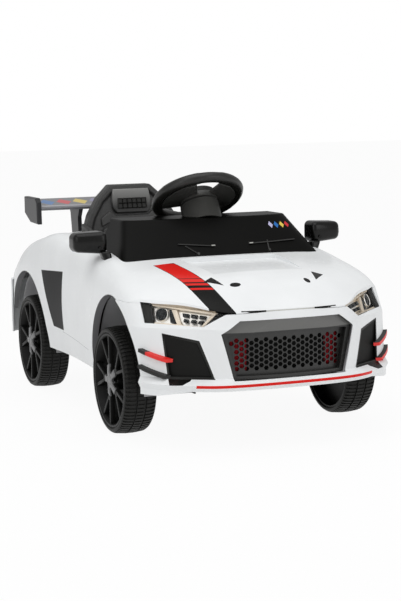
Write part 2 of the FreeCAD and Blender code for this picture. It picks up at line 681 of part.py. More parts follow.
def make_gearbox_cover():
    x0, x1 = GEAR_X0 - CASE_WALL, GEAR_X0 + 12
    cover = gearbox_block(CASE_WALL, x0, x1).cut(gearbox_block(0, GEAR_X0, x1 + 1))
    return cover.cut(x_rod(15 + FIT_GAP, OUT_C, -260, -150))


def make_motor():
    x0 = GEAR_X1 + CASE_WALL
    can = x_rod(MOTOR_R, PINION_C, x0, x0 + MOTOR_LEN)
    end = x_rod(8, PINION_C, x0 + MOTOR_LEN - 1, x0 + MOTOR_LEN + 6)
    return can.fuse(end).cut(x_rod(MOTOR_SHAFT_R + RUN_GAP, PINION_C, x0 - 1, x0 + 9))


def make_liner(arch):
    # Arched strip over one wheel, standing against the flat inner wall of the wheel well.
    x0 = WELL_X + WELL_T
    hood = arch_prism(arch, LINER_T, x0, LINER_OUT_X)
    return hood.cut(arch_prism(arch, 0, x0 - 1, LINER_OUT_X + 1)).cut(box(0, 500, -900, 900, 0, FLOOR_Z))


def make_chassis(inner):
    half = [(0, -420), (150, -420), (WELL_X, -400), (WELL_X, -125), (CABIN_X, -125), (CABIN_X, 210),
            (WELL_X, 210), (WELL_X, 540), (0, 540)]
    outline = [V(x, y, FLOOR_Z) for x, y in half] + [V(-x, y, FLOOR_Z) for x, y in reversed(half[1:-1])]
    floor = prism(outline, V(0, 0, FLOOR_T))
    side = []
    front = FRONT_LINER[0] - FRONT_LINER[1] - 20
    cabin_y0 = FRONT_LINER[0] + FRONT_LINER[1] + LINER_T
    cabin_y1 = REAR_LINER[0] - REAR_LINER[1] - LINER_T
    for y0, y1 in ((front, cabin_y0 + WELL_T), (cabin_y1 - WELL_T, WELL_END_Y)):
        side.append(box(WELL_X, WELL_X + WELL_T, y0, y1, FLOOR_Z, WELL_TOP_Z).common(inner))
    side.append(box(CABIN_X, CABIN_X + WELL_T, cabin_y0, cabin_y1, FLOOR_Z, 366))
    side.append(box(CABIN_X, 283, -118, 200, 126, 130))
    side.append(box(WELL_X, CABIN_X + WELL_T, cabin_y0, cabin_y0 + WELL_T, FLOOR_Z, 330))
    side.append(box(WELL_X, CABIN_X + WELL_T, cabin_y1 - WELL_T, cabin_y1, FLOOR_Z, 330))
    x, y = KINGPIN_X, FRONT_AXLE_Y
    for z in (KNUCKLE_Z0 - FIT_GAP - LUG_T, KNUCKLE_Z1 + FIT_GAP):
        side.append(box(WELL_X, x, y - 13, y + 13, z, z + LUG_T))
        side.append(Part.makeCylinder(13, LUG_T, V(x, y, z)))
    side.append(box(WELL_X, WELL_X + WELL_T, y - 13, y + 13, KNUCKLE_Z0 - LUG_T - FIT_GAP, 190))
    side.append(Part.makeCylinder(KINGPIN_R, KNUCKLE_Z1 - KNUCKLE_Z0 + 2 * LUG_T,
                                  V(x, y, KNUCKLE_Z0 - FIT_GAP - LUG_T)))
    side.append(x_rod(16, OUT_C, WELL_X - 8, WELL_X + WELL_T))
    left = joined(side)
    arm_y = FRONT_AXLE_Y + CRANK_ARM
    window = box(WELL_X - 1, WELL_X + WELL_T + 1, arm_y - 22, arm_y + 22, ARM_Z - 5, TIE_Z + TIE_T + 12)
    left = left.cut(window)
    wall = box(-WELL_X, WELL_X, FIREWALL_Y, FIREWALL_Y + WELL_T, FLOOR_Z, 330)
    wall = wall.cut(box(-14, 14, FIREWALL_Y - 5, FIREWALL_Y + 9, 255, 331))
    cheeks = [box(-124, -114, PEDAL_Y - 12, PEDAL_Y + 12, FLOOR_Z, PEDAL_Z + 10),
              box(-36, -26, PEDAL_Y - 12, PEDAL_Y + 12, FLOOR_Z, PEDAL_Z + 10)]
    post = box(-15, 15, -345, -292, FLOOR_Z, 212)
    web = box(-12, 12, -293, -243, 192, 208)
    bearing = steer(Part.makeCylinder(14, 32, V(0, 0, -CRANK_AT + 5)))
    tub = joined([floor, left, flip(left), wall, post, web, bearing] + cheeks)
    tub = tub.cut(x_rod(PEDAL_PIN_R + RUN_GAP, (PEDAL_Y, PEDAL_Z), -130, -20))
    tub = tub.cut(steer(Part.makeCylinder(SHAFT_R + RUN_GAP, 400, V(0, 0, -420))))
    tub = tub.cut(x_rod(AXLE_R, OUT_C, -300, 300))
    tub = tub.cut(x_rod(MOTOR_R + 2, PINION_C, -WELL_X - 10, -WELL_X + 10))
    return tub


def make_rear_axle():
    # Steel axle with the spacer sleeve of the undriven side.
    shaft = x_rod(AXLE_R, OUT_C, -WHEEL_FACE_X + 10, WHEEL_FACE_X - 10)
    return shaft.fuse(x_rod(10, OUT_C, WELL_X + WELL_T, WHEEL_BACK_X - FIT_GAP))


def make_axle_nuts():
    x = WHEEL_FACE_X - 14 + FIT_GAP
    nut = x_rod(11, OUT_C, x, x + 3.6).cut(x_rod(AXLE_R, OUT_C, x - 1, x + 5))
    return [nut, flip(nut)]


def make_rear_bumper(inner):
    half = [(303, 545), (300, 566), (250, 580), (130, TAIL_Y), (0, TAIL_Y)]
    points = [V(-x, y, 118) for x, y in half] + [V(x, y, 118) for x, y in reversed(half[:-1])]

    def wrap(inset):
        poles = [V(p.x * (1 - inset / 303.0), p.y - inset, p.z) for p in points]
        curve = Part.BSplineCurve()
        curve.buildFromPoles(poles, False, 3)
        return Part.Face(Part.Wire([curve.toShape(), Part.makeLine(poles[-1], poles[0])]))

    skin = wrap(0).extrude(V(0, 0, TAIL_TOP_Z - 118))
    room = wrap(WALL).extrude(V(0, 0, TAIL_TOP_Z - 118 - WALL))
    room = room.fuse(box(-290, 290, 500, 546, 110, TAIL_TOP_Z - WALL))
    shelf = skin.cut(room)
    panel = inner.common(box(-300, 300, 560, 566, TAIL_TOP_Z - 20, 420))
    return joined([shelf, panel])


def make_tail_lamp():
    points = [V(110, 566, 290), V(236, 566, 282), V(240, 566, 305), V(118, 566, 312)]
    return prism(points, V(0, 9, 0))


def make_seat():
    # Bucket seat with a raised head pad; side outline cut to the front outline.
    side = [(70, 178), (60, 214), (90, 226), (330, 206), (366, 236), (428, 500), (436, 508),
            (462, 508), (470, 496), (420, 225), (372, 166)]
    bench = prism([V(-200, y, z) for y, z in side], V(400, 0, 0))
    hollow = Part.Face(Part.makePolygon([V(-200, y, z) for y, z in side + side[:1]])).makeOffset2D(-SEAT_WALL)
    hollow = hollow.extrude(V(400, 0, 0))
    below = hollow.copy()
    below.translate(V(0, 0, -2.5 * SEAT_WALL))
    half = [(0, 100), (104, 100), (106, 196), (SEAT_HALF, 212), (SEAT_HALF, 380), (120, 430), (92, 474),
            (SEAT_TOP_HALF, SEAT_TOP_Z), (0, SEAT_TOP_Z)]
    front = [V(x, -100, z) for x, z in half] + [V(-x, -100, z) for x, z in reversed(half[1:-1])]
    solid = bench.common(prism(front, V(0, 800, 0)))
    room = Part.Face(Part.makePolygon(front + front[:1])).makeOffset2D(-SEAT_WALL).extrude(V(0, 800, 0))
    seat = solid.cut(hollow.fuse(below).common(room))
    for s in (-1, 1):
        wing = [V(s * 132, 75, 204), V(s * 132, 70, 250), V(s * 132, 300, 262), V(s * 132, 352, 400),
                V(s * 132, 420, 410), V(s * 132, 395, 204)]
        seat = seat.fuse(prism(wing, V(s * 10, 0, 0)))
    legs = []
    for x in (-96, 96 - LEG_T):
        legs.append(box(x, x + LEG_T, 90, 340, FLOOR_TOP, 180))
        legs.append(box(x, x + LEG_T, 90, 340, 170, 240).common(solid))
    return joined([seat] + legs)


def make_mirror(outer):
    # Left mirror: rounded housing on a short foot, opening to the back for the glass.
    head = box(MIRROR_X0, MIRROR_X1, MIRROR_Y0, MIRROR_Y1, MIRROR_Z0, MIRROR_Z1)
    front = [e for e in head.Edges if e.BoundBox.YMax < MIRROR_Y1 - 1 or e.BoundBox.YLength > 10]
    head = head.makeFillet(18, front)
    pocket = box(MIRROR_X0 + 6, MIRROR_X1 - 6, MIRROR_Y1 - 5, MIRROR_Y1 + 5, MIRROR_Z0 + 6, MIRROR_Z1 - 6)
    head = head.cut(pocket)
    foot = prism([V(257, -176, 340), V(277, -176, 340), V(286, -176, 392), V(264, -176, 392)], V(0, 28, 0))
    return head.fuse(foot).cut(outer)


def make_mirror_glass():
    return box(MIRROR_X0 + 6, MIRROR_X1 - 6, MIRROR_Y1 - 5, MIRROR_Y1 - 2, MIRROR_Z0 + 6, MIRROR_Z1 - 6)


def make_wing_blade():
    x = WING_HALF - PLATE_T
    points = [V(-x, WING_Y0 + 3, 444), V(-x, WING_Y0, 450), V(-x, WING_Y0 + 8, 457), V(-x, WING_Y0 + 60, 463),
              V(-x, WING_Y1 - 8, 469), V(-x, WING_Y1 - 6, 464), V(-x, WING_Y0 + 60, 451)]
    return prism(points, V(2 * x, 0, 0))


def make_wing_plate():
    x = WING_HALF - PLATE_T
    points = [V(x, WING_Y0 - 2, 408), V(x, WING_Y0 + 70, 410), V(x, WING_Y1, 432), V(x, WING_Y1, 477),
              V(x, WING_Y0 + 14, 477), V(x, WING_Y0, 466)]
    plate = prism(points, V(PLATE_T, 0, 0))
    return plate.makeFillet(3.5, [e for e in plate.Edges if abs(e.BoundBox.XMin - WING_HALF) < 0.01])


def make_wing_stay(outer):
    # Left stay from the rear deck up to the underside of the blade.
    x = STAY_X - 0.5 * STAY_T
    points = [V(x, 492, 444 + 7 * (492 - WING_Y0 - 3) / 57), V(x, WING_Y0 + 60, 451), V(x, WING_Y1 - 6, 464),
              V(x, 574, 430), V(x, 556, 340), V(x, 500, 340), V(x, 508, 420)]
    return prism(points, V(STAY_T, 0, 0)).cut(outer)


def make_dashboard():
    top = COWL_TOP_Z - 4
    half = [(0, 300), (150, 300), (205, 350), (196, top), (0, top)]
    outline = [V(x, DASH_Y, z) for x, z in half] + [V(-x, DASH_Y, z) for x, z in reversed(half[1:-1])]
    panel = prism(outline, V(0, DASH_T, 0))
    panel = panel.cut(Part.makeCylinder(BUTTON_R + BUTTON_GAP, 40, V(130, DASH_Y - 15, 400), V(0, 1, 0)))
    window = box(SWITCH_X - 11, SWITCH_X + 11, DASH_Y - 10, DASH_Y + 20, SWITCH_Z - 18, SWITCH_Z + 18)
    panel = panel.cut(window)
    panel = panel.cut(x_rod(SWITCH_PIN_R + RUN_GAP, (DASH_Y + 2.5, SWITCH_Z), SWITCH_X - 15, SWITCH_X + 15))
    panel = panel.cut(Part.makeCylinder(24, 40, V(0, DASH_Y - 15, 345), V(0, 1, 0)))
    return panel.cut(Part.makeCylinder(5.6, 40, V(90, DASH_Y - 15, 340), V(0, 1, 0)))


def make_speaker():
    cone = Part.makeCylinder(24, DASH_T, V(0, DASH_Y, 345), V(0, 1, 0))
    flange = Part.makeCylinder(30, 3, V(0, DASH_Y - 3, 345), V(0, 1, 0))
    magnet = Part.makeCylinder(17, 16, V(0, DASH_Y - 19, 345), V(0, 1, 0))
    return joined([cone, flange, magnet])


def make_charging_socket():
    body = Part.makeCylinder(5.6, 22, V(90, DASH_Y - 16, 340), V(0, 1, 0))
    flange = Part.makeCylinder(9, 2, V(90, DASH_Y + DASH_T, 340), V(0, 1, 0))
    socket = body.fuse(flange)
    return socket.cut(Part.makeCylinder(2.75, 16, V(90, DASH_Y - 8, 340), V(0, 1, 0)))


def make_power_button():
    cap = Part.makeCylinder(BUTTON_R, 12 + DASH_T, V(130, DASH_Y - 3, 400), V(0, 1, 0))
    cap = cap.makeFillet(1.5, [e for e in cap.Edges if e.BoundBox.YMin > DASH_Y + DASH_T + 3])
    return cap.fuse(Part.makeCylinder(BUTTON_R + 2.5, 3 - BUTTON_GAP, V(130, DASH_Y - 3, 400), V(0, 1, 0)))


def make_direction_switch():
    y, z, x = DASH_Y, SWITCH_Z, SWITCH_X - 9.5
    points = [V(x, y - 4, z - 12), V(x, y + DASH_T + 4, z - 15), V(x, y + DASH_T + 2, z),
              V(x, y + DASH_T + 4, z + 15), V(x, y - 4, z + 12)]
    pin = x_rod(SWITCH_PIN_R, (y + 2.5, z), SWITCH_X - 14, SWITCH_X + 14)
    return prism(points, V(19, 0, 0)).fuse(pin)


def make_battery():
    case = box(-51, 51, 235, 325, FLOOR_TOP, FLOOR_TOP + 54)
    tabs = [box(-34, -28, 226, 235, FLOOR_TOP + 34, FLOOR_TOP + 46),
            box(28, 34, 226, 235, FLOOR_TOP + 34, FLOOR_TOP + 46)]
    return joined([case] + tabs)


def make_controller():
    case = box(-45, 45, 140, 200, FLOOR_TOP, FLOOR_TOP + 26)
    return case.makeFillet(3, [e for e in case.Edges if e.BoundBox.ZLength > 20])


def make_pedal():
    y, z = PEDAL_Y, PEDAL_Z
    points = [V(-111, y + 8, z - 5), V(-111, y + 6, z + 5), V(-111, y - 62, z + 44), V(-111, y - 68, z + 38)]
    pin = x_rod(PEDAL_PIN_R, (y, z), -123, -27)
    return prism(points, V(72, 0, 0)).fuse(pin)


def make_screws():
    screws = []
    for x, y in ((265, -100), (265, 60), (265, 180), (-265, -100), (-265, 60), (-265, 180)):
        screws.append(Part.makeCylinder(SCREW_R, 4, V(x, y, 122)))
    return screws


def save(name, shapes):
    # The body datum stands a little above the ground, so every piece is lifted when it is written.
    shape = shapes[0].copy() if len(shapes) == 1 else Part.makeCompound(shapes)
    shape.translate(V(0, 0, RIDE_Z))
    shape.exportStep("parts/" + name + ".step")
    print(name, len(shape.Solids), round(shape.Volume), shape.isValid())


def both(name, shapes):
    save(name + "_left", shapes)
    save(name + "_right", [flip(shape) for shape in shapes])


def main():
    outer = body_solid(0, 0, 0)
    inner = body_solid(WALL, 30, 20)
    nose = nose_solid(0, 0)
    save("body_shell", [make_body_shell(outer, inner, nose)])
    save("front_bumper", [make_front_bumper(nose)])
    save("rear_bumper", [make_rear_bumper(inner)])
    save("chassis_tub", [make_chassis(inner)])
    liners = [make_liner(FRONT_LINER), make_liner(REAR_LINER)]
    save("arch_liners", liners + [flip(shape) for shape in liners])
    save("grille", [make_grille()])
    both("intake", [make_intake(nose)])
    both("canards", make_canards(nose))
    both("headlight_lens", [patch_solid(HEADLIGHT, 0, LENS_T)])
    bowl = patch_solid(inset_quad(HEADLIGHT, 0.12), -LENS_T, LAMP_DEPTH - 3)
    both("headlight_housing", [patch_solid(HEADLIGHT, -LENS_T, LAMP_DEPTH).cut(bowl)])
    both("tail_lamp", [make_tail_lamp()])
    both("side_blade", [outer.cut(inner).common(blade_prism())])
    deck = outer.cut(recess_prism(0).cut(recess_floor(outer, 0)))
    save("windscreen_cowl", [make_cowl(deck)])
    save("dashboard", [make_dashboard()])
    save("speaker", [make_speaker()])
    save("charging_socket", [make_charging_socket()])
    save("power_button", [make_power_button()])
    save("direction_switch", [make_direction_switch()])
    save("seat", [make_seat()])
    both("mirror", [make_mirror(outer)])
    save("mirror_glasses", [make_mirror_glass(), flip(make_mirror_glass())])
    save("wing_blade", [make_wing_blade()])
    both("wing_endplate", [make_wing_plate()])
    stay = make_wing_stay(outer)
    save("wing_stays", [stay, flip(stay)])
    save("battery", [make_battery()])
    save("controller_box", [make_controller()])
    save("screws", make_screws())
    save("pedal", [make_pedal()])
    save("steering_wheel", [make_steering_wheel()])
    save("steering_pad", [make_steering_pad()])
    save("horn_button", [make_wheel_button(-22)])
    save("music_button", [make_wheel_button(22)])
    save("steering_shaft", [make_steering_shaft()])
    save("tie_rod", [make_tie_rod()])
    both("knuckle", [make_knuckle()])
    tyre = make_tyre()
    rim = make_rim()
    both("tyre_front", [tyre])
    both("rim_front", [rim])
    both("tyre_rear", [place_rear(tyre)])
    both("rim_rear", [place_rear(rim)])
    save("rear_axle", [make_rear_axle()])
    save("axle_nuts", make_axle_nuts())
    save("gearbox_case", [make_gearbox_case()])
    save("gearbox_cover", [make_gearbox_cover()])
    save("motor", [make_motor()])
    save("output_gear", [make_output_gear()])
    save("idler_gear", [make_idler_gear()])
    save("pinion", [make_pinion()])


main()
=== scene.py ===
import math

import bmesh
import bpy
from mathutils import Matrix, Vector


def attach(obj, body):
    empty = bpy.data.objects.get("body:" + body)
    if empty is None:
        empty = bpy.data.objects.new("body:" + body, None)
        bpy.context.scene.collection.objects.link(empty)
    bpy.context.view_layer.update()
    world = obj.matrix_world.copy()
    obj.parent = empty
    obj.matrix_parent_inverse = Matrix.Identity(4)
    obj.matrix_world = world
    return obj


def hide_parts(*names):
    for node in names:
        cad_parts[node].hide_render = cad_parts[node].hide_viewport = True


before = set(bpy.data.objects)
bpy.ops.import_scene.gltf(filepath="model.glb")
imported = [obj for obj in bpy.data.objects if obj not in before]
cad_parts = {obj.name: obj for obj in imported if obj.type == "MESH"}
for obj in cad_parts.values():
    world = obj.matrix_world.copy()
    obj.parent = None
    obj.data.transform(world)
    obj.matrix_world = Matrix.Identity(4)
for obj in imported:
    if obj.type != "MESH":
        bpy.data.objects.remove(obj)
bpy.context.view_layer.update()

# Chassis tub and arch liners: one large pan of charcoal polypropylene with four loose wheel-well hoods.
# Both are injection moulded with a fine spark-eroded grain, and every other piece screws to the tub.


def linear(code):
    # Linear colour from an sRGB hex code.
    values = [int(code[i:i + 2], 16) / 255 for i in (1, 3, 5)]
    return [v / 12.92 if v <= 0.04045 else ((v + 0.055) / 1.055) ** 2.4 for v in values] + [1.0]


def add(material, kind, sockets, **settings):
    # Add a node: a socket takes a link or a value.
    made = material.node_tree.nodes.new(kind)
    for key, value in settings.items():
        setattr(made, key, value)
    for name, value in sockets.items():
        if isinstance(value, bpy.types.NodeSocket):
            material.node_tree.links.new(value, made.inputs[name])
        else:
            made.inputs[name].default_value = value
    return made


def feed(material, name, socket):
    # Link a socket to one of the shader's inputs.
    material.node_tree.links.new(socket, material.node_tree.nodes["Principled BSDF"].inputs[name])


def begin(name):
    # New material with its shader and the piece's own coordinates.
    material = bpy.data.materials.new(name)
    material.use_nodes = True
    place = add(material, "ShaderNodeTexCoord", {})
    return material, material.node_tree.nodes["Principled BSDF"], place.outputs["Object"]


def two_tone(material, drift, spots, tone, shade):
    # Base colour that runs from tone to shade with the drift of a pattern.
    ramp = add(material, "ShaderNodeValToRGB", {"Fac": drift})
    for stop, spot, code in zip(ramp.color_ramp.elements, spots, (tone, shade)):
        stop.position = spot
        stop.color = linear(code)
    feed(material, "Base Color", ramp.outputs["Color"])


def moulded(name, tone, shade, rough, grain_mm, depth_mm, shine=0.5):
    # Moulded plastic: tone drifts to shade over 90 mm patches, and the tool's grain breaks the gloss.
    material, skin, place = begin(name)
    cloud = add(material, "ShaderNodeTexNoise", {"Vector": place, "Scale": 11.0, "Detail": 3.0})
    two_tone(material, cloud.outputs["Fac"], (0.3, 0.7), tone, shade)
    grain = add(material, "ShaderNodeTexNoise",
                {"Vector": place, "Scale": 1000.0 / grain_mm, "Detail": 2.0})
    gloss = add(material, "ShaderNodeMapRange",
                {"Value": grain.outputs["Fac"], "To Min": rough - 0.07, "To Max": rough + 0.07})
    relief = add(material, "ShaderNodeBump",
                 {"Height": grain.outputs["Fac"], "Distance": depth_mm / 1000, "Strength": 0.6})
    skin.inputs["Specular IOR Level"].default_value = shine
    feed(material, "Roughness", gloss.outputs["Result"])
    feed(material, "Normal", relief.outputs["Normal"])
    return material


def dress(material, *names):
    # Give CAD pieces their finish.
    for name in names:
        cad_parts[name].data.materials.clear()
        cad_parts[name].data.materials.append(material)


# Charcoal polypropylene, satin from a 1.2 mm eroded grain.
charcoal_pp = moulded("charcoal_moulded_pp", "#2b2b2a", "#262625", 0.55, 1.2, 0.10, 0.3)
dress(charcoal_pp, "chassis_tub")
# The liners are given a pale grey as painted light, so that they show grey in the shade inside the arches.
liner_pp_painted_light = moulded("grey_pp_painted_light", "#bababc", "#b2b2b4", 0.65, 1.2, 0.06, 0.2)
dress(liner_pp_painted_light, "arch_liners")

# Drive unit: a can motor and two-stage nylon reduction in a black two-part case on the right rear wheel.
# Battery and controller are sealed boxes strapped to the floor under the seat.
# Black polypropylene with a 1.2 mm eroded grain that scatters the light to a soft sheen.
black_pp = moulded("black_grained_pp", "#191916", "#151513", 0.45, 1.2, 0.09, 0.35)
dress(black_pp, "gearbox_case", "gearbox_cover", "battery", "controller_box")


def plated(name, tone, shade, rough):
    # Bright plating: fine 0.625 mm streaks along the work break up the shine.
    material, skin, place = begin(name)
    streak = add(material, "ShaderNodeMapping", {"Vector": place, "Scale": (0.06, 1.0, 1.0)})
    lines = add(material, "ShaderNodeTexNoise",
                {"Vector": streak.outputs["Vector"], "Scale": 1000 / 0.625, "Detail": 2.0})
    two_tone(material, lines.outputs["Fac"], (0.35, 0.65), tone, shade)
    gloss = add(material, "ShaderNodeMapRange",
                {"Value": lines.outputs["Fac"], "To Min": rough - 0.08, "To Max": rough + 0.08})
    skin.inputs["Metallic"].default_value = 1.0
    feed(material, "Roughness", gloss.outputs["Result"])
    return material


# Zinc-plated drawn steel: a cool grey with a half-dull shine.
zinc_steel = plated("zinc_plated_steel", "#b9bbbe", "#a3a6aa", 0.32)
dress(zinc_steel, "motor", "rear_axle", "axle_nuts", "screws")
# Natural nylon, slightly waxy, with a 2 mm flow pattern from the gate.
nylon = moulded("natural_nylon", "#dcd8c8", "#d2cdbb", 0.4, 2.0, 0.03)
dress(nylon, "output_gear", "idler_gear", "pinion")

# Front axle: pressed steel knuckles on kingpins, a flat tie rod and the steering shaft with its crank.
# They are bolted under the tub and carry the two steered wheels.
dress(zinc_steel, "knuckle_left", "knuckle_right", "tie_rod", "steering_shaft")

# Tyres: hard polyethylene rings blown in a split mould and snapped over the rims, 240 mm across.
# Three ribs run round the tread, cut across by 76 narrow slots that continue as knurls on the shoulder.
RIDE_Z = 5.0
AXLE_Z = 115.0
TYRE_MIDDLE_X = 266.0
TYRE_HALF = [(33.6, 105.6), (36.0, 107.2), (36.8, 109.6), (36.4, 112.4), (34.8, 114.6), (30.8, 117.2),
             (27.6, 118.0), (12.6, 119.6), (12.0, 117.2), (9.2, 117.2), (8.6, 119.9)]
SLOTS = 76
SLOTS_FROM_R = 114.8
SLOT_DEPTH = 1.7
GROOVE_X = (9.0, 12.4)
FRONT_AXLE_Y = -280.0
REAR_AXLE_Y = 375.0


def settle(name, shape, body, slot, *materials, crisp=35.0):
    # Pieces are drawn in millimetres from a datum 5 mm over the ground: the mesh is lifted,
    # brought to metres, turned outwards and put on its body.
    bmesh.ops.translate(shape, vec=(0, 0, RIDE_Z), verts=shape.verts)
    bmesh.ops.scale(shape, vec=(0.001, 0.001, 0.001), verts=shape.verts)
    bmesh.ops.recalc_face_normals(shape, faces=shape.faces)
    data = bpy.data.meshes.new(name)
    shape.to_mesh(data)
    shape.free()
    for material in materials:
        data.materials.append(material)
    data.shade_smooth()
    data.set_sharp_from_angle(angle=math.radians(crisp))
    piece = bpy.data.objects.new(name, data)
    bpy.context.scene.collection.objects.link(piece)
    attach(piece, body)
    return piece


def spun(shape, line, steps):
    # Turn a closed outline of (x, radius) points once round the X axis.
    corners = [shape.verts.new((x, 0, r)) for x, r in line]
    edges = [shape.edges.new(pair) for pair in zip(corners, corners[1:] + corners[:1])]
    bmesh.ops.spin(shape, geom=corners + edges, cent=(0, 0, 0), axis=(1, 0, 0), angle=math.tau, steps=steps,
                   use_merge=True)
    bmesh.ops.recalc_face_normals(shape, faces=shape.faces)


# Black polyethylene with a dull skin: 1.5 mm pebble from the blow mould and pale dust in patches.
tyre_pe = moulded("black_blown_pe", "#171715", "#131311", 0.52, 1.5, 0.12, 0.25)
wheels = [(end, side, sign, axle) for end, axle in (("front", FRONT_AXLE_Y), ("rear", REAR_AXLE_Y))
          for side, sign in (("left", 1), ("right", -1))]
for end, side, sign, axle in wheels:
    tyre = bmesh.new()
    spun(tyre, [(-x, r) for x, r in TYRE_HALF] + [(x, r) for x, r in reversed(TYRE_HALF)], 2 * SLOTS)
    slots = []
    for face in tyre.faces:
        middle = face.calc_center_median()
        reach = math.hypot(middle.y, middle.z)
        step = int(math.degrees(math.atan2(middle.y, middle.z)) % 360 * SLOTS / 180)
        if step % 2 == 0 and reach > SLOTS_FROM_R and not GROOVE_X[0] < abs(middle.x) < GROOVE_X[1]:
            slots.append(face)
    bmesh.ops.inset_individual(tyre, faces=slots, thickness=0.4, depth=-SLOT_DEPTH, use_even_offset=True)
    bmesh.ops.translate(tyre, vec=(sign * TYRE_MIDDLE_X, axle, AXLE_Z), verts=tyre.verts)
    ring = settle("tread_%s_%s" % (end, side), tyre, "%s_%s_wheel" % (end, side), "tyre_black", tyre_pe,
                  crisp=28)
    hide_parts("tyre_%s_%s" % (end, side))

# Rims: black moulded discs with five forked spokes in front of a closed web; they turn on the stub axles.
# A five-armed trim star in metallic grey is clipped over each hub, and its round middle is left bare.
# Black polypropylene, satin: a slow 5 mm ripple in the skin softens the lights on the spokes.
rim_pp = moulded("black_satin_rim_pp", "#111110", "#0d0d0c", 0.45, 5.0, 0.03, 0.18)
RIM_LINE = [(300.2, 105.5), (301.4, 104.2), (301.4, 100.4), (299.6, 98.8), (272, 94.5), (267, 91),
            (265, 24), (287, 21.5), (289, 19), (289, 6.5), (229.5, 6.5), (229.5, 20), (258, 20), (260, 96),
            (257, 101), (233, 102), (233, 105.5)]
SPOKE_BAR = [(-8.5, 18), (8.5, 18), (5.5, 50), (-5.5, 50)]
SPOKE_LEG = [(-1.0, 38), (6.5, 38), (29.0, 95.5), (21.0, 97.5)]
SPOKE_X = (288.0, 297.5)
SPOKE_DISH = 2.0
DISH_FROM_R = 40.0
DISH_OVER_R = 58.0
FIRST_SPOKE = 90.0


def round_edges(shape, edges, width, segments=2):
    # Round edges off, the width in millimetres.
    bmesh.ops.bevel(shape, geom=edges, offset=width, offset_type="OFFSET", affect="EDGES",
                    segments=segments, profile=0.5, material=-1)


def turn_about(shape, corners, degrees, axis):
    # Turn corners of a mesh about an axis through its origin.
    bmesh.ops.rotate(shape, cent=(0, 0, 0), matrix=Matrix.Rotation(math.radians(degrees), 3, axis),
                     verts=corners)


def push_out(shape, face, way):
    # Extrude a face along a way and give the new corners back.
    made = bmesh.ops.extrude_face_region(shape, geom=[face])["geom"]
    corners = [v for v in made if isinstance(v, bmesh.types.BMVert)]
    bmesh.ops.translate(shape, vec=way, verts=corners)
    return corners


def join_to(shape, made):
    # Add one mesh to another.
    carrier = bpy.data.meshes.new("carrier")
    made.to_mesh(carrier)
    made.free()
    shape.from_mesh(carrier)
    bpy.data.meshes.remove(carrier)


def rim_bar(shape, outline, turn):
    # Bar across the rim from an outline of (sideways, outwards) points, its outer end dished proud.
    face = shape.faces.new([shape.verts.new((SPOKE_X[0], y, z)) for y, z in outline])
    raised = push_out(shape, face, (0, 0, 0))
    for v in raised:
        v.co.x = SPOKE_X[1] + SPOKE_DISH * max(v.co.z - DISH_FROM_R, 0) / DISH_OVER_R
    bmesh.ops.recalc_face_normals(shape, faces=shape.faces)
    round_edges(shape, [e for e in shape.edges if all(v in raised for v in e.verts)], 1.8)
    turn_about(shape, shape.verts, -turn, "X")


star_metal, star_skin, star_place = begin("graphite_metallic_abs")
# Aluminium flake of about 0.8 mm in a grey paint: it glitters softly and is brighter face on.
flake = add(star_metal, "ShaderNodeTexVoronoi", {"Vector": star_place, "Scale": 1000 / 0.8})
two_tone(star_metal, flake.outputs["Distance"], (0.0, 1.0), "#868687", "#6d6d6e")
flake_gloss = add(star_metal, "ShaderNodeMapRange",
                  {"Value": flake.outputs["Distance"], "To Min": 0.3, "To Max": 0.45})
feed(star_metal, "Roughness", flake_gloss.outputs["Result"])
star_skin.inputs["Metallic"].default_value = 0.6
STAR_BACK_X = 295.0
STAR_TOP_X = 301.4
STAR_TIP_DROP = 2.4
STAR_TIP_R = 30.0
STAR_ARM = [(-36, 15), (-17, 20), (-13, 37), (13, 37), (17, 20)]
HUB_LINE = [(STAR_BACK_X, 12.5), (STAR_TOP_X + 0.2, 12.5), (STAR_TOP_X + 0.7, 11.8),
            (STAR_TOP_X + 0.7, 9.4), (STAR_TOP_X, 8.8), (STAR_TOP_X + 0.4, 0.01), (STAR_BACK_X, 0.01)]
for end, side, sign, axle in wheels:
    rim = bmesh.new()
    spun(rim, RIM_LINE, 96)
    for k in range(5):
        turn = FIRST_SPOKE + 72 * k
        for outline in (SPOKE_BAR, SPOKE_LEG, [(-y, z) for y, z in reversed(SPOKE_LEG)]):
            bar = bmesh.new()
            rim_bar(bar, outline, turn)
            join_to(rim, bar)
    star = bmesh.new()
    rays = [(math.radians(FIRST_SPOKE + 72 * arm + turn), reach) for arm in range(5)
            for turn, reach in STAR_ARM]
    outline = [star.verts.new((STAR_BACK_X, reach * math.sin(turn), reach * math.cos(turn)))
               for turn, reach in rays]
    plate = star.faces.new(outline)
    push_out(star, plate, (STAR_TOP_X - STAR_BACK_X, 0, 0))
    for v in star.verts:
        if v.co.x > STAR_TOP_X - 0.1 and math.hypot(v.co.y, v.co.z) > STAR_TIP_R:
            v.co.x -= STAR_TIP_DROP
    top = [e for e in star.edges if min(v.co.x for v in e.verts) > STAR_TOP_X - STAR_TIP_DROP - 0.2]
    round_edges(star, top, 1.2)
    spun(star, HUB_LINE, 30)
    for name, shape, slot, finish in (("rim_disc", rim, "rim_black", rim_pp),
                                      ("hub_star", star, "dark_grey", star_metal)):
        bmesh.ops.scale(shape, vec=(sign, 1, 1), verts=shape.verts)
        bmesh.ops.translate(shape, vec=(0, axle, AXLE_Z), verts=shape.verts)
        disc = settle("%s_%s_%s" % (name, end, side), shape, "%s_%s_wheel" % (end, side), slot, finish)
        if shape is rim:
            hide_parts("rim_%s_%s" % (end, side))

# Body shell: one white polypropylene moulding, about 3 mm thick, screwed to the tub from below.
# A self-adhesive red and black stripe runs down the right of the hood, with four small black marks.


def calc(material, operation, *values):
    # Result of one step of arithmetic on links and numbers.
    return add(material, "ShaderNodeMath", dict(enumerate(values)), operation=operation).outputs[0]


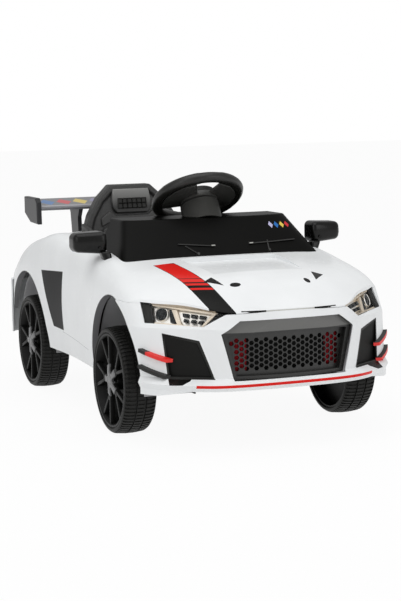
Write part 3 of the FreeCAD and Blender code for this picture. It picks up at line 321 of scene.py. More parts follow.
def place_of(material):
    # The coordinates that a finish was begun with.
    return material.node_tree.nodes["Texture Coordinate"].outputs["Object"]


def overlap(material, *covers):
    # Mask that is one where all of some masks are.
    joint = covers[0]
    for cover in covers[1:]:
        joint = calc(material, "MULTIPLY", joint, cover)
    return joint


def inside(material, place, corners):
    # Mask of a printed patch in plan: one inside a convex outline, its corners anticlockwise in mm.
    tests = []
    for (x0, y0), (x1, y1) in zip(corners, corners[1:] + corners[:1]):
        way = (y0 - y1, x1 - x0, 0)
        across = add(material, "ShaderNodeVectorMath", {0: place, 1: way}, operation="DOT_PRODUCT")
        limit = (way[0] * x0 + way[1] * y0) / 1000
        tests.append(calc(material, "GREATER_THAN", across.outputs["Value"], limit))
    return overlap(material, *tests)


def print_on(material, cover, code):
    # Lay a printed colour over the base colour where the mask is one.
    skin = material.node_tree.nodes["Principled BSDF"]
    below = skin.inputs["Base Color"].links[0].from_socket
    layer = add(material, "ShaderNodeMix", {0: cover, 6: below, 7: linear(code)}, data_type="RGBA")
    feed(material, "Base Color", layer.outputs[2])


def plan_axes(material, place):
    # The three coordinates one by one.
    split = add(material, "ShaderNodeSeparateXYZ", {"Vector": place})
    return split.outputs["X"], split.outputs["Y"], split.outputs["Z"]


def within(material, value, low, high):
    # Mask that is one between two limits in millimetres.
    middle, reach = 0.0005 * (low + high), 0.0005 * (high - low)
    return calc(material, "COMPARE", value, middle, reach)


# Arch openings: middle, half length and height over the axle.
ARCHES = [(-305.0, 157.0, 193.0), (387.0, 170.0, 181.0)]
ARCH_LIP = 1.006


def shade_arch_lips(material, place):
    # Painted shade: grey on the turned-in lips of the arches, over what lies in an opening's half ellipse.
    x_axis, y_axis, z_axis = plan_axes(material, place)
    rise = calc(material, "ADD", z_axis, -0.001 * (AXLE_Z + RIDE_Z))
    rise = calc(material, "MAXIMUM", rise, 0.0)
    side_on = add(material, "ShaderNodeCombineXYZ", {0: y_axis, 1: rise})
    for middle, half, height in ARCHES:
        opening = add(material, "ShaderNodeMapping", {"Vector": side_on.outputs["Vector"],
                                                      "Location": (-middle / half, 0, 0),
                                                      "Scale": (1000 / half, 1000 / height, 0)})
        reach = add(material, "ShaderNodeVectorMath", {0: opening.outputs["Vector"]}, operation="LENGTH")
        lip = calc(material, "LESS_THAN", reach.outputs["Value"], ARCH_LIP)
        print_on(material, lip, "#808082")


RED = "#e0231c"
BLACK = "#0b0b09"
# White polypropylene with a polished skin: a faint 9 mm ripple stands in for the sink marks of thin walls.
WHITE_SKIN = ("#f0f2f3", "#ebedee", 0.24, 9.0, 0.02, 0.11)
hood_white = moulded("white_gloss_pp", *WHITE_SKIN)
hood_place = place_of(hood_white)
x_axis, y_axis, z_axis = plan_axes(hood_white, hood_place)
# Stripe edges bow towards the middle with the square of the way run forward from the cowl.
STRIPE_FROM_Y = -283.0
STRIPE_TO_Y = -640.0
STRIPE_LEFT_X = -193.0
STRIPE_RIGHT_X = -144.5
STRIPE_TAPER = 8.0
STRIPE_BOW = 18.0
STRIPE_BOW_Y = -538.0
STRIPE_SLANT = 0.55
STRIPE_LOW_Z = 267.0
STRIPE_BORDER = 1.5
run = add(hood_white, "ShaderNodeMapRange",
          {"Value": y_axis, "From Min": STRIPE_FROM_Y / 1000, "From Max": STRIPE_BOW_Y / 1000}, clamp=False)
bow = calc(hood_white, "MULTIPLY", run.outputs["Result"], run.outputs["Result"])
straight = calc(hood_white, "MULTIPLY_ADD", bow, -STRIPE_BOW / 1000, x_axis)
left_edge = calc(hood_white, "MULTIPLY_ADD", run.outputs["Result"], STRIPE_TAPER / 1000,
                 STRIPE_LEFT_X / 1000)
past_left = calc(hood_white, "GREATER_THAN", straight, left_edge)
past_right = calc(hood_white, "LESS_THAN", straight, STRIPE_RIGHT_X / 1000)
slant = calc(hood_white, "MULTIPLY_ADD", x_axis, STRIPE_SLANT, y_axis)
long_way = within(hood_white, y_axis, STRIPE_TO_Y, STRIPE_FROM_Y)
upper = calc(hood_white, "GREATER_THAN", z_axis, STRIPE_LOW_Z / 1000)
band = overlap(hood_white, long_way, past_left, past_right, upper)
print_on(hood_white, band, BLACK)
RED_BARS = [(-512.0, -370.0), (-534.0, -515.5), (-550.0, -540.0), (-569.0, -561.0)]
inner_left = calc(hood_white, "ADD", left_edge, STRIPE_BORDER / 1000)
inner_past = calc(hood_white, "GREATER_THAN", straight, inner_left)
inner_stop = calc(hood_white, "LESS_THAN", straight, (STRIPE_RIGHT_X - STRIPE_BORDER) / 1000)
core = overlap(hood_white, inner_past, inner_stop, band)
for low, high in RED_BARS:
    bar = within(hood_white, slant, low, high)
    print_on(hood_white, overlap(hood_white, core, bar), RED)
# Each side has a three-cornered mark and a dot; the right dot is the wider one.
MARK = [(118, -441), (141, -456), (108, -489)]
DOT_AT = (84.0, -494.0)
DOT_HALVES = {-1: (0.012, 0.009), 1: (0.0065, 0.011)}
for sign in (-1, 1):
    corners = [(sign * x, y) for x, y in MARK]
    mark = inside(hood_white, hood_place, corners if sign < 0 else corners[::-1])
    print_on(hood_white, mark, BLACK)
    dot_x, dot_y = DOT_HALVES[sign]
    offset = add(hood_white, "ShaderNodeMapping",
                 {"Vector": hood_place, "Location": (-sign * DOT_AT[0] / 1000, -DOT_AT[1] / 1000, 0)})
    flat = add(hood_white, "ShaderNodeVectorMath",
               {0: offset.outputs["Vector"], 1: (1 / dot_x, 1 / dot_y, 0)}, operation="MULTIPLY")
    reach = add(hood_white, "ShaderNodeVectorMath", {0: flat.outputs["Vector"]}, operation="LENGTH")
    dot = calc(hood_white, "LESS_THAN", reach.outputs["Value"], 1.0)
    print_on(hood_white, dot, BLACK)
# Painted shade in the arches' lips.
shade_arch_lips(hood_white, hood_place)
# The sill is set back along a crease that rises to the rear under the door; its shade is painted as a 1.2
# mm grey line.
CREASE_RISE = 0.0646
CREASE_Z = (171.6, 172.8)
CREASE_Y = (-114.0, 104.0)
SILL_X = 280.0
crease_shade_level = calc(hood_white, "MULTIPLY_ADD", y_axis, -CREASE_RISE, z_axis)
beside = calc(hood_white, "ABSOLUTE", x_axis)
outer = calc(hood_white, "GREATER_THAN", beside, SILL_X / 1000)
crease = overlap(hood_white, within(hood_white, crease_shade_level, *CREASE_Z),
                 within(hood_white, y_axis, *CREASE_Y), outer)
print_on(hood_white, crease, "#b4b7ba")
dress(hood_white, "body_shell")

# Bumpers: white polypropylene mouldings that close the ends, screwed to the tub and hooked to the shell.
# A red pinstripe is printed along the lip of the front one, the rear one is plain.
# Both have the shell's polished skin with its faint 9 mm ripple.
lip_white = moulded("white_gloss_pp_with_lip_stripe", *WHITE_SKIN)
lip_place = place_of(lip_white)
x_axis, y_axis, z_axis = plan_axes(lip_white, lip_place)
LIP_Z = (139.6, 146.0)
LIP_HALF = 204.0
lip = overlap(lip_white, within(lip_white, z_axis, *LIP_Z),
              within(lip_white, x_axis, -LIP_HALF, LIP_HALF))
print_on(lip_white, lip, RED)
# Painted shade in the arches' lips.
shade_arch_lips(lip_white, lip_place)
# The intakes' black runs on under them as a printed notch.
lip_beside = calc(lip_white, "ABSOLUTE", x_axis)
lip_ahead = add(lip_white, "ShaderNodeCombineXYZ", {0: lip_beside, 1: z_axis})
NOTCH = [(204, 157), (209, 153), (228, 145.5), (250.5, 144), (246, 157)]
print_on(lip_white, inside(lip_white, lip_ahead.outputs["Vector"], NOTCH), BLACK)
dress(lip_white, "front_bumper")
rear_white = moulded("white_gloss_pp_rear", *WHITE_SKIN)
dress(rear_white, "rear_bumper")

# Rear valance: a black polypropylene strip, moulded with six upright fins.
# It is clipped over the lower edge of the rear bumper.
# Its 1.2 mm grain leaves it nearly matte.
valance_pp = moulded("black_valance_pp", "#191917", "#151513", 0.5, 1.2, 0.08, 0.3)
VALANCE_HALF = [(0, 588.0), (60, 587.9), (120, 586.9), (150, 585.8), (180, 584.2), (210, 581.8),
                (232, 579.3)]
VALANCE_Z = (121.0, 164.0)
VALANCE_PROUD = 1.2
VALANCE_WALL = 2.0
CORNER_FROM_X = 220.0
CORNER_DROP = 18.0
FIN_X = (-150, -90, -30, 30, 90, 150)
FIN_SIZE = (3.2, 8.0, 38.0)
FIN_Y = 591.0
FIN_Z = 141.0
FIN_LEAN = 4.5
valance = bmesh.new()
columns = []
for x, y in [(-x, y) for x, y in reversed(VALANCE_HALF[1:])] + VALANCE_HALF:
    top = VALANCE_Z[1] - (CORNER_DROP if abs(x) > CORNER_FROM_X else 0)
    columns.append([valance.verts.new((x, y + VALANCE_PROUD, z)) for z in (VALANCE_Z[0], top)])
skin_faces = [valance.faces.new((a[0], b[0], b[1], a[1])) for a, b in zip(columns, columns[1:])]
bmesh.ops.solidify(valance, geom=skin_faces, thickness=VALANCE_WALL)
for x in FIN_X:
    fin = bmesh.ops.create_cube(valance, size=1.0)["verts"]
    bmesh.ops.scale(valance, vec=FIN_SIZE, verts=fin)
    bmesh.ops.translate(valance, vec=(x, FIN_Y, FIN_Z), verts=fin)
    bmesh.ops.translate(valance, vec=(0, -FIN_LEAN, 0),
                        verts=[v for v in fin if v.co.z > FIN_Z and v.co.y > FIN_Y])
    round_edges(valance, list({e for v in fin for e in v.link_edges}), 0.9)
settle("rear_valance", valance, "car", "black_plastic", valance_pp)

# Hood gap: black rubber strips close the ends of the gap between hood and bumper, a pale one its middle.
# They are push-fit extrusions, 3 mm high.


def sweep(shape, path, size):
    # Bar of a rectangular section, size (x, y, z) of its start face, drawn from point to point.
    start = bmesh.ops.create_cube(shape, size=1.0)["verts"]
    bmesh.ops.scale(shape, vec=size, verts=start)
    bmesh.ops.translate(shape, vec=path[0], verts=start)
    way = (Vector(path[1]) - Vector(path[0])).normalized()
    faces = {face for v in start for face in v.link_faces}
    front = max(faces, key=lambda f: f.calc_center_median().dot(way))
    for a, b in zip(path, path[1:]):
        moved = bmesh.ops.extrude_discrete_faces(shape, faces=[front])["faces"]
        front = moved[0]
        bmesh.ops.translate(shape, vec=Vector(b) - Vector(a), verts=front.verts)


# Black rubber, dull, with a 1 mm pebble.
seal_rubber = moulded("black_rubber_seal", "#11110f", "#0d0d0b", 0.6, 1.0, 0.05, 0.2)
GAP_Z = 290.4
SEAL_PATH = [(56, -589.6), (74, -588.8), (93, -586.6), (108, -583.0)]
SEAL_SECTION = (0.6, 3.0, 4.6)
STRIP_PATH = [(-55, -589.6), (-28, -590.4), (0, -590.6), (28, -590.4), (55, -589.6)]
STRIP_SECTION = (0.6, 3.0, 3.0)
for name, sign in (("left", 1), ("right", -1)):
    seal = bmesh.new()
    sweep(seal, [(sign * x, y, GAP_Z) for x, y in SEAL_PATH], SEAL_SECTION)
    settle("hood_seal_" + name, seal, "car", "black_plastic", seal_rubber)
# Silvered polypropylene: a pale lacquer with a soft 3 mm mottle.
silvered_pp = moulded("silvered_pp", "#c9c9c4", "#b4b4ae", 0.28, 3.0, 0.03)
bright_strip = bmesh.new()
sweep(bright_strip, [(x, y, GAP_Z) for x, y in STRIP_PATH], STRIP_SECTION)
settle("hood_bright_strip", bright_strip, "car", "lamp_chrome", silvered_pp)

# Grille: a black frame with a plain sloping visor over a honeycomb net, snapped into the bumper.
# A black sheet with two red foil bands is glued behind the net and shows through its cells.
# Black polypropylene, satin from a 1.2 mm grain.
visor_pp = moulded("black_satin_pp", "#232322", "#1d1d1c", 0.36, 1.2, 0.06, 0.6)
x_axis, y_axis, z_axis = plan_axes(visor_pp, place_of(visor_pp))
# The visor above the net is printed a paler grey.
VISOR_Z = (252.0, 300.0)
print_on(visor_pp, within(visor_pp, z_axis, *VISOR_Z), "#666664")
dress(visor_pp, "grille")
GRILLE_AXIS_Y = -138.0
SHEET_R = 434.0
SHEET_HALF = 141.0
SHEET_Z = (151.0, 247.0)
sheet_turn = math.asin(SHEET_HALF / SHEET_R)
sheet = bmesh.new()
sheet_edge = [sheet.verts.new((-SHEET_HALF, GRILLE_AXIS_Y - SHEET_R * math.cos(sheet_turn), z))
              for z in SHEET_Z]
sheet_line = sheet.edges.new(sheet_edge)
bmesh.ops.spin(sheet, geom=sheet_edge + [sheet_line], cent=(0, GRILLE_AXIS_Y, 0), axis=(0, 0, 1),
               angle=2 * sheet_turn, steps=28, use_merge=False)
bmesh.ops.recalc_face_normals(sheet, faces=sheet.faces)
bmesh.ops.solidify(sheet, geom=sheet.faces[:], thickness=1.2)
# Matte black backing card; the red foil bands are 34 mm wide.
backing = moulded("black_card_with_red_foil", "#0c0c0b", "#090908", 0.7, 1.0, 0.03, 0.2)
x_axis, y_axis, z_axis = plan_axes(backing, place_of(backing))
FOIL_X = [(-124.0, -90.0), (90.0, 124.0)]
for low, high in FOIL_X:
    print_on(backing, within(backing, x_axis, low, high), "#a31420")
settle("grille_sheet", sheet, "car", "black_plastic", backing)

# Side intakes and canards: black boxes behind the bumper corners, each with two thin curved fins.
# The upper right fin is red with a black tip, the left ones are red on their front edges.
dress(black_pp, "intake_left", "intake_right")
# A blank panel with a stepped edge fills each box, set back along the bumper's sweep.
INTAKE_Y = -542.6
INTAKE_SWEEP = 0.756
INTAKE_INNER_X = 187.0
INTAKE_STEP = 1.5
INTAKE_FACE = [(250.5, 243.5), (194.5, 231), (188.5, 226), (165, 152.5), (245.5, 151.5)]
for side, sign in (("left", 1), ("right", -1)):
    blank = bmesh.new()
    cover = blank.faces.new([blank.verts.new((sign * x, INTAKE_Y + INTAKE_SWEEP * (x - INTAKE_INNER_X), z))
                             for x, z in INTAKE_FACE])
    bmesh.ops.inset_individual(blank, faces=[cover], thickness=3.0, depth=0.0, use_even_offset=True)
    cover.normal_update()
    bmesh.ops.inset_individual(blank, faces=[cover], thickness=INTAKE_STEP,
                               depth=math.copysign(INTAKE_STEP, cover.normal.y), use_even_offset=True)
    bmesh.ops.solidify(blank, geom=blank.faces[:], thickness=1.6)
    settle("intake_blank_" + side, blank, "car", "black_plastic", seal_rubber)
# The fins are black polypropylene with a smooth skin, their red is pad printed.
FIN_SLOPE = 0.4
UPPER_FIN_LEVEL = 382.0
FIN_TIP_Y = -478.0
for side in ("left", "right"):
    fin = moulded("black_fin_with_red_%s" % side, BLACK, "#131310", 0.35, 1.2, 0.04, 0.5)
    coordinates = fin.node_tree.nodes["Texture Coordinate"]
    x_axis, y_axis, z_axis = plan_axes(fin, coordinates.outputs["Object"])
    if side == "right":
        # The fins slope down to the front, so a tilted level tells the upper from the lower one.
        level = calc(fin, "MULTIPLY_ADD", y_axis, -FIN_SLOPE, z_axis)
        top_fin = calc(fin, "GREATER_THAN", level, UPPER_FIN_LEVEL / 1000)
        before_tip = calc(fin, "LESS_THAN", y_axis, FIN_TIP_Y / 1000)
        red = overlap(fin, top_fin, before_tip)
    else:
        way = add(fin, "ShaderNodeSeparateXYZ", {"Vector": coordinates.outputs["Normal"]})
        red = calc(fin, "LESS_THAN", way.outputs["Z"], 0.4)
    print_on(fin, red, RED)
    dress(fin, "canards_" + side)

# Headlights: a vacuum-plated bowl under a clear lens, with a projector, two rows of cells and black ends.
# The inside pieces are clipped to the bowl; their places are given across and down the four-cornered lens.
LAMP = [Vector((127, -570, 286)), Vector((275, -426, 305)), Vector((279, -461, 265)),
        Vector((173, -541, 257))]
lamp_out = (LAMP[1] - LAMP[0]).cross(LAMP[3] - LAMP[0]).normalized()
lamp_out = lamp_out if lamp_out.y < 0 else -lamp_out


def lamp_spot(across, down, depth):
    # Point under the lens, across and down as shares of its width and height.
    upper_edge = LAMP[0].lerp(LAMP[1], across)
    lower_edge = LAMP[3].lerp(LAMP[2], across)
    return upper_edge.lerp(lower_edge, down) - lamp_out * depth


def lamp_block(shape, corners, near, far, round_mm):
    # Block under the lens from four (across, down) corners between two depths, with softened edges.
    face = shape.faces.new([shape.verts.new(lamp_spot(a, d, near)) for a, d in corners])
    push_out(shape, face, -lamp_out * (far - near))
    edges = {e for v in face.verts for e in v.link_edges}
    bmesh.ops.recalc_face_normals(shape, faces=shape.faces)
    round_edges(shape, list(edges), round_mm)


def lamp_brow(shape, edge):
    # Strip from the hood's edge, points of (across, down, depth), down to the top of the lens.
    upper = [shape.verts.new(lamp_spot(a, d, t)) for a, d, t in edge]
    lower = [shape.verts.new(lamp_spot(a, *BROW_FOOT)) for a, d, t in edge]
    strip = [shape.faces.new((u0, u1, l1, l0))
             for u0, u1, l0, l1 in zip(upper, upper[1:], lower, lower[1:])]
    bmesh.ops.solidify(shape, geom=strip, thickness=1.2)


# The brow ends just below the top of the lens, under it.
BROW_FOOT = (0.03, 2.0)
# Edge of the hood over the lamp, from its outer end to its inner one.
BROW = [(1.0, -0.055, -1.6), (0.88, -0.045, -2.4), (0.77, -0.085, -3.2), (0.62, -0.13, -4.2),
        (0.5, -0.137, -5.2), (0.38, -0.106, -6.6), (0.31, -0.084, -7.6), (0.25, -0.062, -8.4),
        (0.157, -0.03, -9.6), (0.115, -0.03, -9.6), (0.03, -0.05, -5.6)]


def lamp_turned(shape, across, down, line, steps):
    # Round piece on an axis square to the lens; line gives (height towards the lens, radius) points.
    made = bmesh.new()
    spun(made, line, steps)
    turn = Vector((1, 0, 0)).rotation_difference(lamp_out).to_matrix().to_4x4()
    bmesh.ops.transform(made, matrix=Matrix.Translation(lamp_spot(across, down, 0)) @ turn,
                        verts=made.verts)
    join_to(shape, made)


# Vacuum-plated ABS: a warm white shine with fine streaks.
plated_abs = plated("vacuum_plated_abs", "#fbf9f4", "#f3f0e9", 0.3)
# Clear polycarbonate lens, polished: a faint 30 mm haze from the mould is all that tints it.
clear_pc, clear_skin, clear_place = begin("clear_moulded_pc")
haze = add(clear_pc, "ShaderNodeTexNoise", {"Vector": clear_place, "Scale": 33.0, "Detail": 1.0})
haze_cover = add(clear_pc, "ShaderNodeMapRange",
                 {"Value": haze.outputs["Fac"], "To Min": 0.03, "To Max": 0.08})
feed(clear_pc, "Alpha", haze_cover.outputs["Result"])
clear_skin.inputs["Base Color"].default_value = linear("#1a1c1c")
clear_skin.inputs["Roughness"].default_value = 0.06
# Warm cream trim on the inner frame: tinted plating.
cream_abs = plated("cream_plated_abs", "#f8eddc", "#f2e3cd", 0.4)
cream_abs.node_tree.nodes["Principled BSDF"].inputs["Metallic"].default_value = 0.5
# Smoked lamp glass: dark with a slow 6 mm ripple that bends its lights.
dark_glass = moulded("smoked_lamp_glass", "#262b2a", "#1b1f21", 0.3, 6.0, 0.02, 0.3)
# Black bezel ABS with a 3 mm satin grain.
lamp_black = moulded("black_lamp_bezel_abs", "#1d1d1b", "#161614", 0.42, 3.0, 0.04, 0.25)
LENS_CORNERS = [(0, 0), (1, 0), (1, 1), (0, 1)]
LENS_DEPTH = 0.4
LENS_WALL = 0.8
BOWL_RIM = 5.0
BOWL_EDGE = 2.4
BOWL_DEPTH = 13.0
END_DEPTHS = (1.6, 9.0)
CELL_DEPTHS = (4.5, 14.5)
END_BLOCKS = [[(0.88, 0.0), (1.0, 0.0), (1.0, 1.0), (0.845, 1.0)],
              [(0.0, 0.0), (0.13, 0.0), (0.03, 1.0), (0.0, 1.0)]]
FRAME_BARS = [([(0.135, 0.0), (0.875, 0.0), (0.87, 0.10), (0.16, 0.15)], 2.6, 10.0, 0.8),
              ([(0.05, 0.93), (0.84, 0.91), (0.84, 1.0), (0.04, 1.0)], 2.6, 10.0, 0.8),
              ([(0.585, 0.14), (0.65, 0.14), (0.49, 0.92), (0.41, 0.92)], 4.0, 14.0, 1.0),
              ([(0.14, 0.05), (0.185, 0.05), (0.10, 0.95), (0.045, 0.95)], 3.0, 12.0, 0.8)]
PROJECTOR_AT = (0.755, 0.47)
PROJECTOR = [(-15, 11.5), (-6, 12.5), (-4, 11.8), (-5, 9.5), (-4, 6.5), (-3, 0.01), (-15, 0.01)]
PROJECTOR_RING = [(-15, 13.0), (-4.4, 13.0), (-3.4, 13.8), (-4.4, 15.0), (-15, 15.0)]
CELLS = [[(0.615, 0.17), (0.675, 0.17), (0.60, 0.86), (0.525, 0.86)],
         [(0.43, 0.27), (0.505, 0.27), (0.475, 0.47), (0.40, 0.47)],
         [(0.325, 0.27), (0.40, 0.27), (0.37, 0.47), (0.295, 0.47)],
         [(0.22, 0.27), (0.295, 0.27), (0.265, 0.47), (0.19, 0.47)],
         [(0.385, 0.57), (0.445, 0.57), (0.42, 0.76), (0.36, 0.76)],
         [(0.28, 0.57), (0.34, 0.57), (0.315, 0.76), (0.255, 0.76)],
         [(0.175, 0.57), (0.235, 0.57), (0.21, 0.76), (0.15, 0.76)]]
for side, sign in (("left", 1), ("right", -1)):
    ends = bmesh.new()
    for corners in END_BLOCKS:
        lamp_block(ends, corners, *END_DEPTHS, 0.6)
    lamp_brow(ends, BROW[:2])
    lamp_brow(ends, BROW[-3:])
    bowl = bmesh.new()
    tray = bowl.faces.new([bowl.verts.new(lamp_spot(a, d, BOWL_EDGE)) for a, d in LENS_CORNERS])
    tray.normal_update()
    bmesh.ops.inset_individual(bowl, faces=[tray], thickness=BOWL_RIM,
                               depth=-math.copysign(BOWL_DEPTH, tray.normal.dot(lamp_out)))
    bmesh.ops.solidify(bowl, geom=bowl.faces[:], thickness=1.0)
    lens = bmesh.new()
    lens.faces.new([lens.verts.new(lamp_spot(a, d, LENS_DEPTH)) for a, d in LENS_CORNERS])
    bmesh.ops.subdivide_edges(lens, edges=lens.edges[:], cuts=7, use_grid_fill=True)
    bmesh.ops.solidify(lens, geom=lens.faces[:], thickness=LENS_WALL)
    frames = bmesh.new()
    lamp_brow(frames, BROW[1:-2])
    for corners, near, far, round_mm in FRAME_BARS:
        lamp_block(frames, corners, near, far, round_mm)
    cells = bmesh.new()
    lamp_turned(cells, *PROJECTOR_AT, PROJECTOR, 28)
    lamp_turned(bowl, *PROJECTOR_AT, PROJECTOR_RING, 28)
    for corners in CELLS:
        lamp_block(cells, corners, *CELL_DEPTHS, 0.7)
    for name, shape, finish, slot, node in (("ends", ends, lamp_black, "black_plastic", ""),
                                            ("frames", frames, cream_abs, "lamp_chrome", ""),
                                            ("cells", cells, dark_glass, "gloss_black", ""),
                                            ("bowl", bowl, plated_abs, "lamp_chrome", "headlight_housing_"),
                                            ("lens", lens, clear_pc, "lens_clear", "headlight_lens_")):
        bmesh.ops.scale(shape, vec=(sign, 1, 1), verts=shape.verts)
        piece = settle("lamp_%s_%s" % (name, side), shape, "car", slot, finish)
        if node:
            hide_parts(node + side)

# Tail lamps: red acrylic lenses, moulded with upright ribs every 5 mm and pushed through the rear panel.
# The polished acrylic is clear and glossy, and the ribs break its lights into fine lines.
RIB_MM = 5.0


def ribbed(material, pitch_mm, depth_mm, strength, way):
    # Moulded ribs, one after the other along X or Y.
    ribs = add(material, "ShaderNodeTexWave", {"Vector": place_of(material),
                                               "Scale": math.tau / 20 * 1000 / pitch_mm},
               bands_direction=way)
    relief = add(material, "ShaderNodeBump",
                 {"Height": ribs.outputs["Fac"], "Distance": depth_mm / 1000, "Strength": strength})
    feed(material, "Normal", relief.outputs["Normal"])


red_acrylic = moulded("red_ribbed_acrylic", "#c21a17", "#a31311", 0.15, 8.0, 0.02, 0.7)
ribbed(red_acrylic, RIB_MM, 0.6, 0.7, "X")
dress(red_acrylic, "tail_lamp_left", "tail_lamp_right")

# Windscreen cowl and dashboard: black mouldings that close the cabin, one polished and one grained.
# Four small lozenges in plain colours are printed on the cowl's left front corner.
# Black polypropylene, polished: it shows almost no grain and stays very dark.
cowl_pp = moulded("black_polished_pp", "#080807", "#060605", 0.38, 2.0, 0.03, 0.06)
COWL_LOZENGES = [(148, -158, "#b9b6d6"), (163, -157, "#2f6db4"), (178, -155, "#dcc257"),
                 (192, -152, "#c8343c")]
LOZENGE_HALVES = (6.0, 9.0)


def lozenge(material, x, y, half_x, half_y, code):
    # Print a lozenge in plan, its middle and half diagonals in millimetres.
    corners = [(x - half_x, y), (x, y - half_y), (x + half_x, y), (x, y + half_y)]
    print_on(material, inside(material, place_of(material), corners), code)


for x, y, code in COWL_LOZENGES:
    lozenge(cowl_pp, x, y, *LOZENGE_HALVES, code)
# Painted sheen: the column's shroud on top of the cowl is printed a charcoal paler than the cowl's black.
COLUMN_SHEEN = "#3c3c3a"
SHROUD_FOOT_Z = 461.5
SHROUD_TOP_Z = 560.0
x_axis, y_axis, z_axis = plan_axes(cowl_pp, place_of(cowl_pp))
print_on(cowl_pp, within(cowl_pp, z_axis, SHROUD_FOOT_Z, SHROUD_TOP_Z), COLUMN_SHEEN)
dress(cowl_pp, "windscreen_cowl")
dress(black_pp, "dashboard", "speaker", "charging_socket", "direction_switch")
# Red polypropylene buttons, glossy with a faint 6 mm ripple.
red_pp = moulded("red_gloss_pp", "#c5201b", "#b01b17", 0.22, 6.0, 0.02)
dress(red_pp, "power_button", "horn_button", "music_button")

# Wipers: mock blades and arms, moulded in black polypropylene and snapped onto the front of the cowl.
# Their inner tips are silvered.
# A 3 mm satin mottle keeps them just paler than the cowl.
wiper_pp = moulded("black_wiper_pp", "#2b2b29", "#232321", 0.4, 3.0, 0.03)
# Points of the blade, the arm and the tip of each wiper.
WIPERS = [("right", [(-102, -201.5, 401.9), (-74, -205, 399.8), (-48, -208, 397.6), (-20, -211, 395.3)],
           [(-86.5, -208, 396.6), (-63, -228, 379.5)],
           [(-24, -210.8, 396.6), (-16, -211.6, 396.2)]),
          ("left", [(76, -208.4, 396.6), (105, -206.3, 397.3), (134, -203.8, 398), (161, -200.8, 399),
                    (191, -197, 399.9)],
           [(120, -201, 401), (115, -225, 380)],
           [(72, -209.2, 397.4), (80, -208.8, 397.6)])]
BLADE_SECTION = (1.0, 3.0, 2.2)
ARM_SECTION = (2.4, 1.6, 2.4)
TIP_SECTION = (0.8, 3.2, 2.2)
KNOB_TILT = 48.0
for side, blade, arm, tip in WIPERS:
    wiper = bmesh.new()
    sweep(wiper, blade, BLADE_SECTION)
    sweep(wiper, arm, ARM_SECTION)
    silver_tip = bmesh.new()
    sweep(silver_tip, tip, TIP_SECTION)
    settle("wiper_tip_" + side, silver_tip, "car", "black_plastic", silvered_pp)
    knob = bmesh.ops.create_cone(wiper, cap_ends=True, segments=16, radius1=4.2, radius2=3.0,
                                 depth=6.0)["verts"]
    turn_about(wiper, knob, KNOB_TILT, "X")
    bmesh.ops.translate(wiper, vec=arm[-1], verts=knob)
    settle("wiper_" + side, wiper, "car", "black_plastic", wiper_pp)

# Dials: two mock gauges with raised rims pressed into the dashboard above the speaker.
# Their faces are printed with plain white ticks.
DIAL_BACK_Y = -25.2
DIAL_R = 25.0
DIAL_X = 58.0
DIAL_Z = 415.0
TICKS = 24
TICKS_R = (15.0, 20.0)
TICK_HALF_SHARE = 0.14
DIAL_LINE = [(0.0, 0.01), (1.2, 0.01), (1.2, DIAL_R - 3.5), (3.6, DIAL_R - 2.8), (4.4, DIAL_R - 1.4),
             (3.6, DIAL_R), (0.0, DIAL_R)]
dial_face, _, dial_place = begin("printed_dial_card")
for side, x in (("left", DIAL_X), ("right", -DIAL_X)):
    dial = bmesh.new()
    spun(dial, DIAL_LINE, 48)
    turn_about(dial, dial.verts, 90, "Z")
    bmesh.ops.translate(dial, vec=(x, DIAL_BACK_Y, DIAL_Z), verts=dial.verts)
    settle("dial_" + side, dial, "car", "gloss_black", dial_face)
# Satin black card with 24 white ticks 1.4 mm wide on the outer ring of each face.
x_axis, y_axis, z_axis = plan_axes(dial_face, dial_place)
from_middle = calc(dial_face, "ABSOLUTE", x_axis)
dial_x = calc(dial_face, "ADD", from_middle, -DIAL_X / 1000)
dial_z = calc(dial_face, "ADD", z_axis, -(DIAL_Z + RIDE_Z) / 1000)
dial_turn = calc(dial_face, "ARCTAN2", dial_z, dial_x)
dial_step = calc(dial_face, "MULTIPLY", dial_turn, TICKS / math.tau)
dial_part = calc(dial_face, "FRACT", dial_step)
tick = calc(dial_face, "COMPARE", dial_part, 0.5, TICK_HALF_SHARE)
dial_flat = add(dial_face, "ShaderNodeCombineXYZ", {0: dial_x, 1: dial_z})
dial_reach = add(dial_face, "ShaderNodeVectorMath", {0: dial_flat.outputs["Vector"]}, operation="LENGTH")
ring_part = within(dial_face, dial_reach.outputs["Value"], *TICKS_R)
card = add(dial_face, "ShaderNodeMix", {0: overlap(dial_face, tick, ring_part), 6: linear("#10100f"),
                                          7: linear("#e8e8e4")}, data_type="RGBA")
feed(dial_face, "Base Color", card.outputs[2])
dial_gloss = add(dial_face, "ShaderNodeTexNoise", {"Vector": dial_place, "Scale": 300.0, "Detail": 2.0})
dial_rough = add(dial_face, "ShaderNodeMapRange",
                 {"Value": dial_gloss.outputs["Fac"], "To Min": 0.2, "To Max": 0.4})
feed(dial_face, "Roughness", dial_rough.outputs["Result"])

# Seat: a blow-moulded black bucket with a leather-look grain, raised pads and a slotted head panel.
# It hooks over the rear of the cabin and two screws hold it to the floor.
seat_pe, seat_skin, seat_place = begin("black_leather_grain_pe")
# Leather-look pebble of about 3 mm in a soft grey-black: its tops are worn smoother than the valleys.
pebble = add(seat_pe, "ShaderNodeTexVoronoi", {"Vector": seat_place, "Scale": 330.0},
             feature="DISTANCE_TO_EDGE")
pebble_height = add(seat_pe, "ShaderNodeMapRange", {"Value": pebble.outputs["Distance"], "From Max": 0.12})
pebble_relief = add(seat_pe, "ShaderNodeBump",
                    {"Height": pebble_height.outputs["Result"], "Distance": 0.0003, "Strength": 0.5})
pebble_tone = add(seat_pe, "ShaderNodeMix", {0: pebble_height.outputs["Result"], 6: linear("#1b1b1a"),
                                             7: linear("#2b2b2a")}, data_type="RGBA")
pebble_gloss = add(seat_pe, "ShaderNodeMapRange",
                   {"Value": pebble_height.outputs["Result"], "To Min": 0.55, "To Max": 0.4})
feed(seat_pe, "Base Color", pebble_tone.outputs[2])
feed(seat_pe, "Roughness", pebble_gloss.outputs["Result"])
feed(seat_pe, "Normal", pebble_relief.outputs["Normal"])
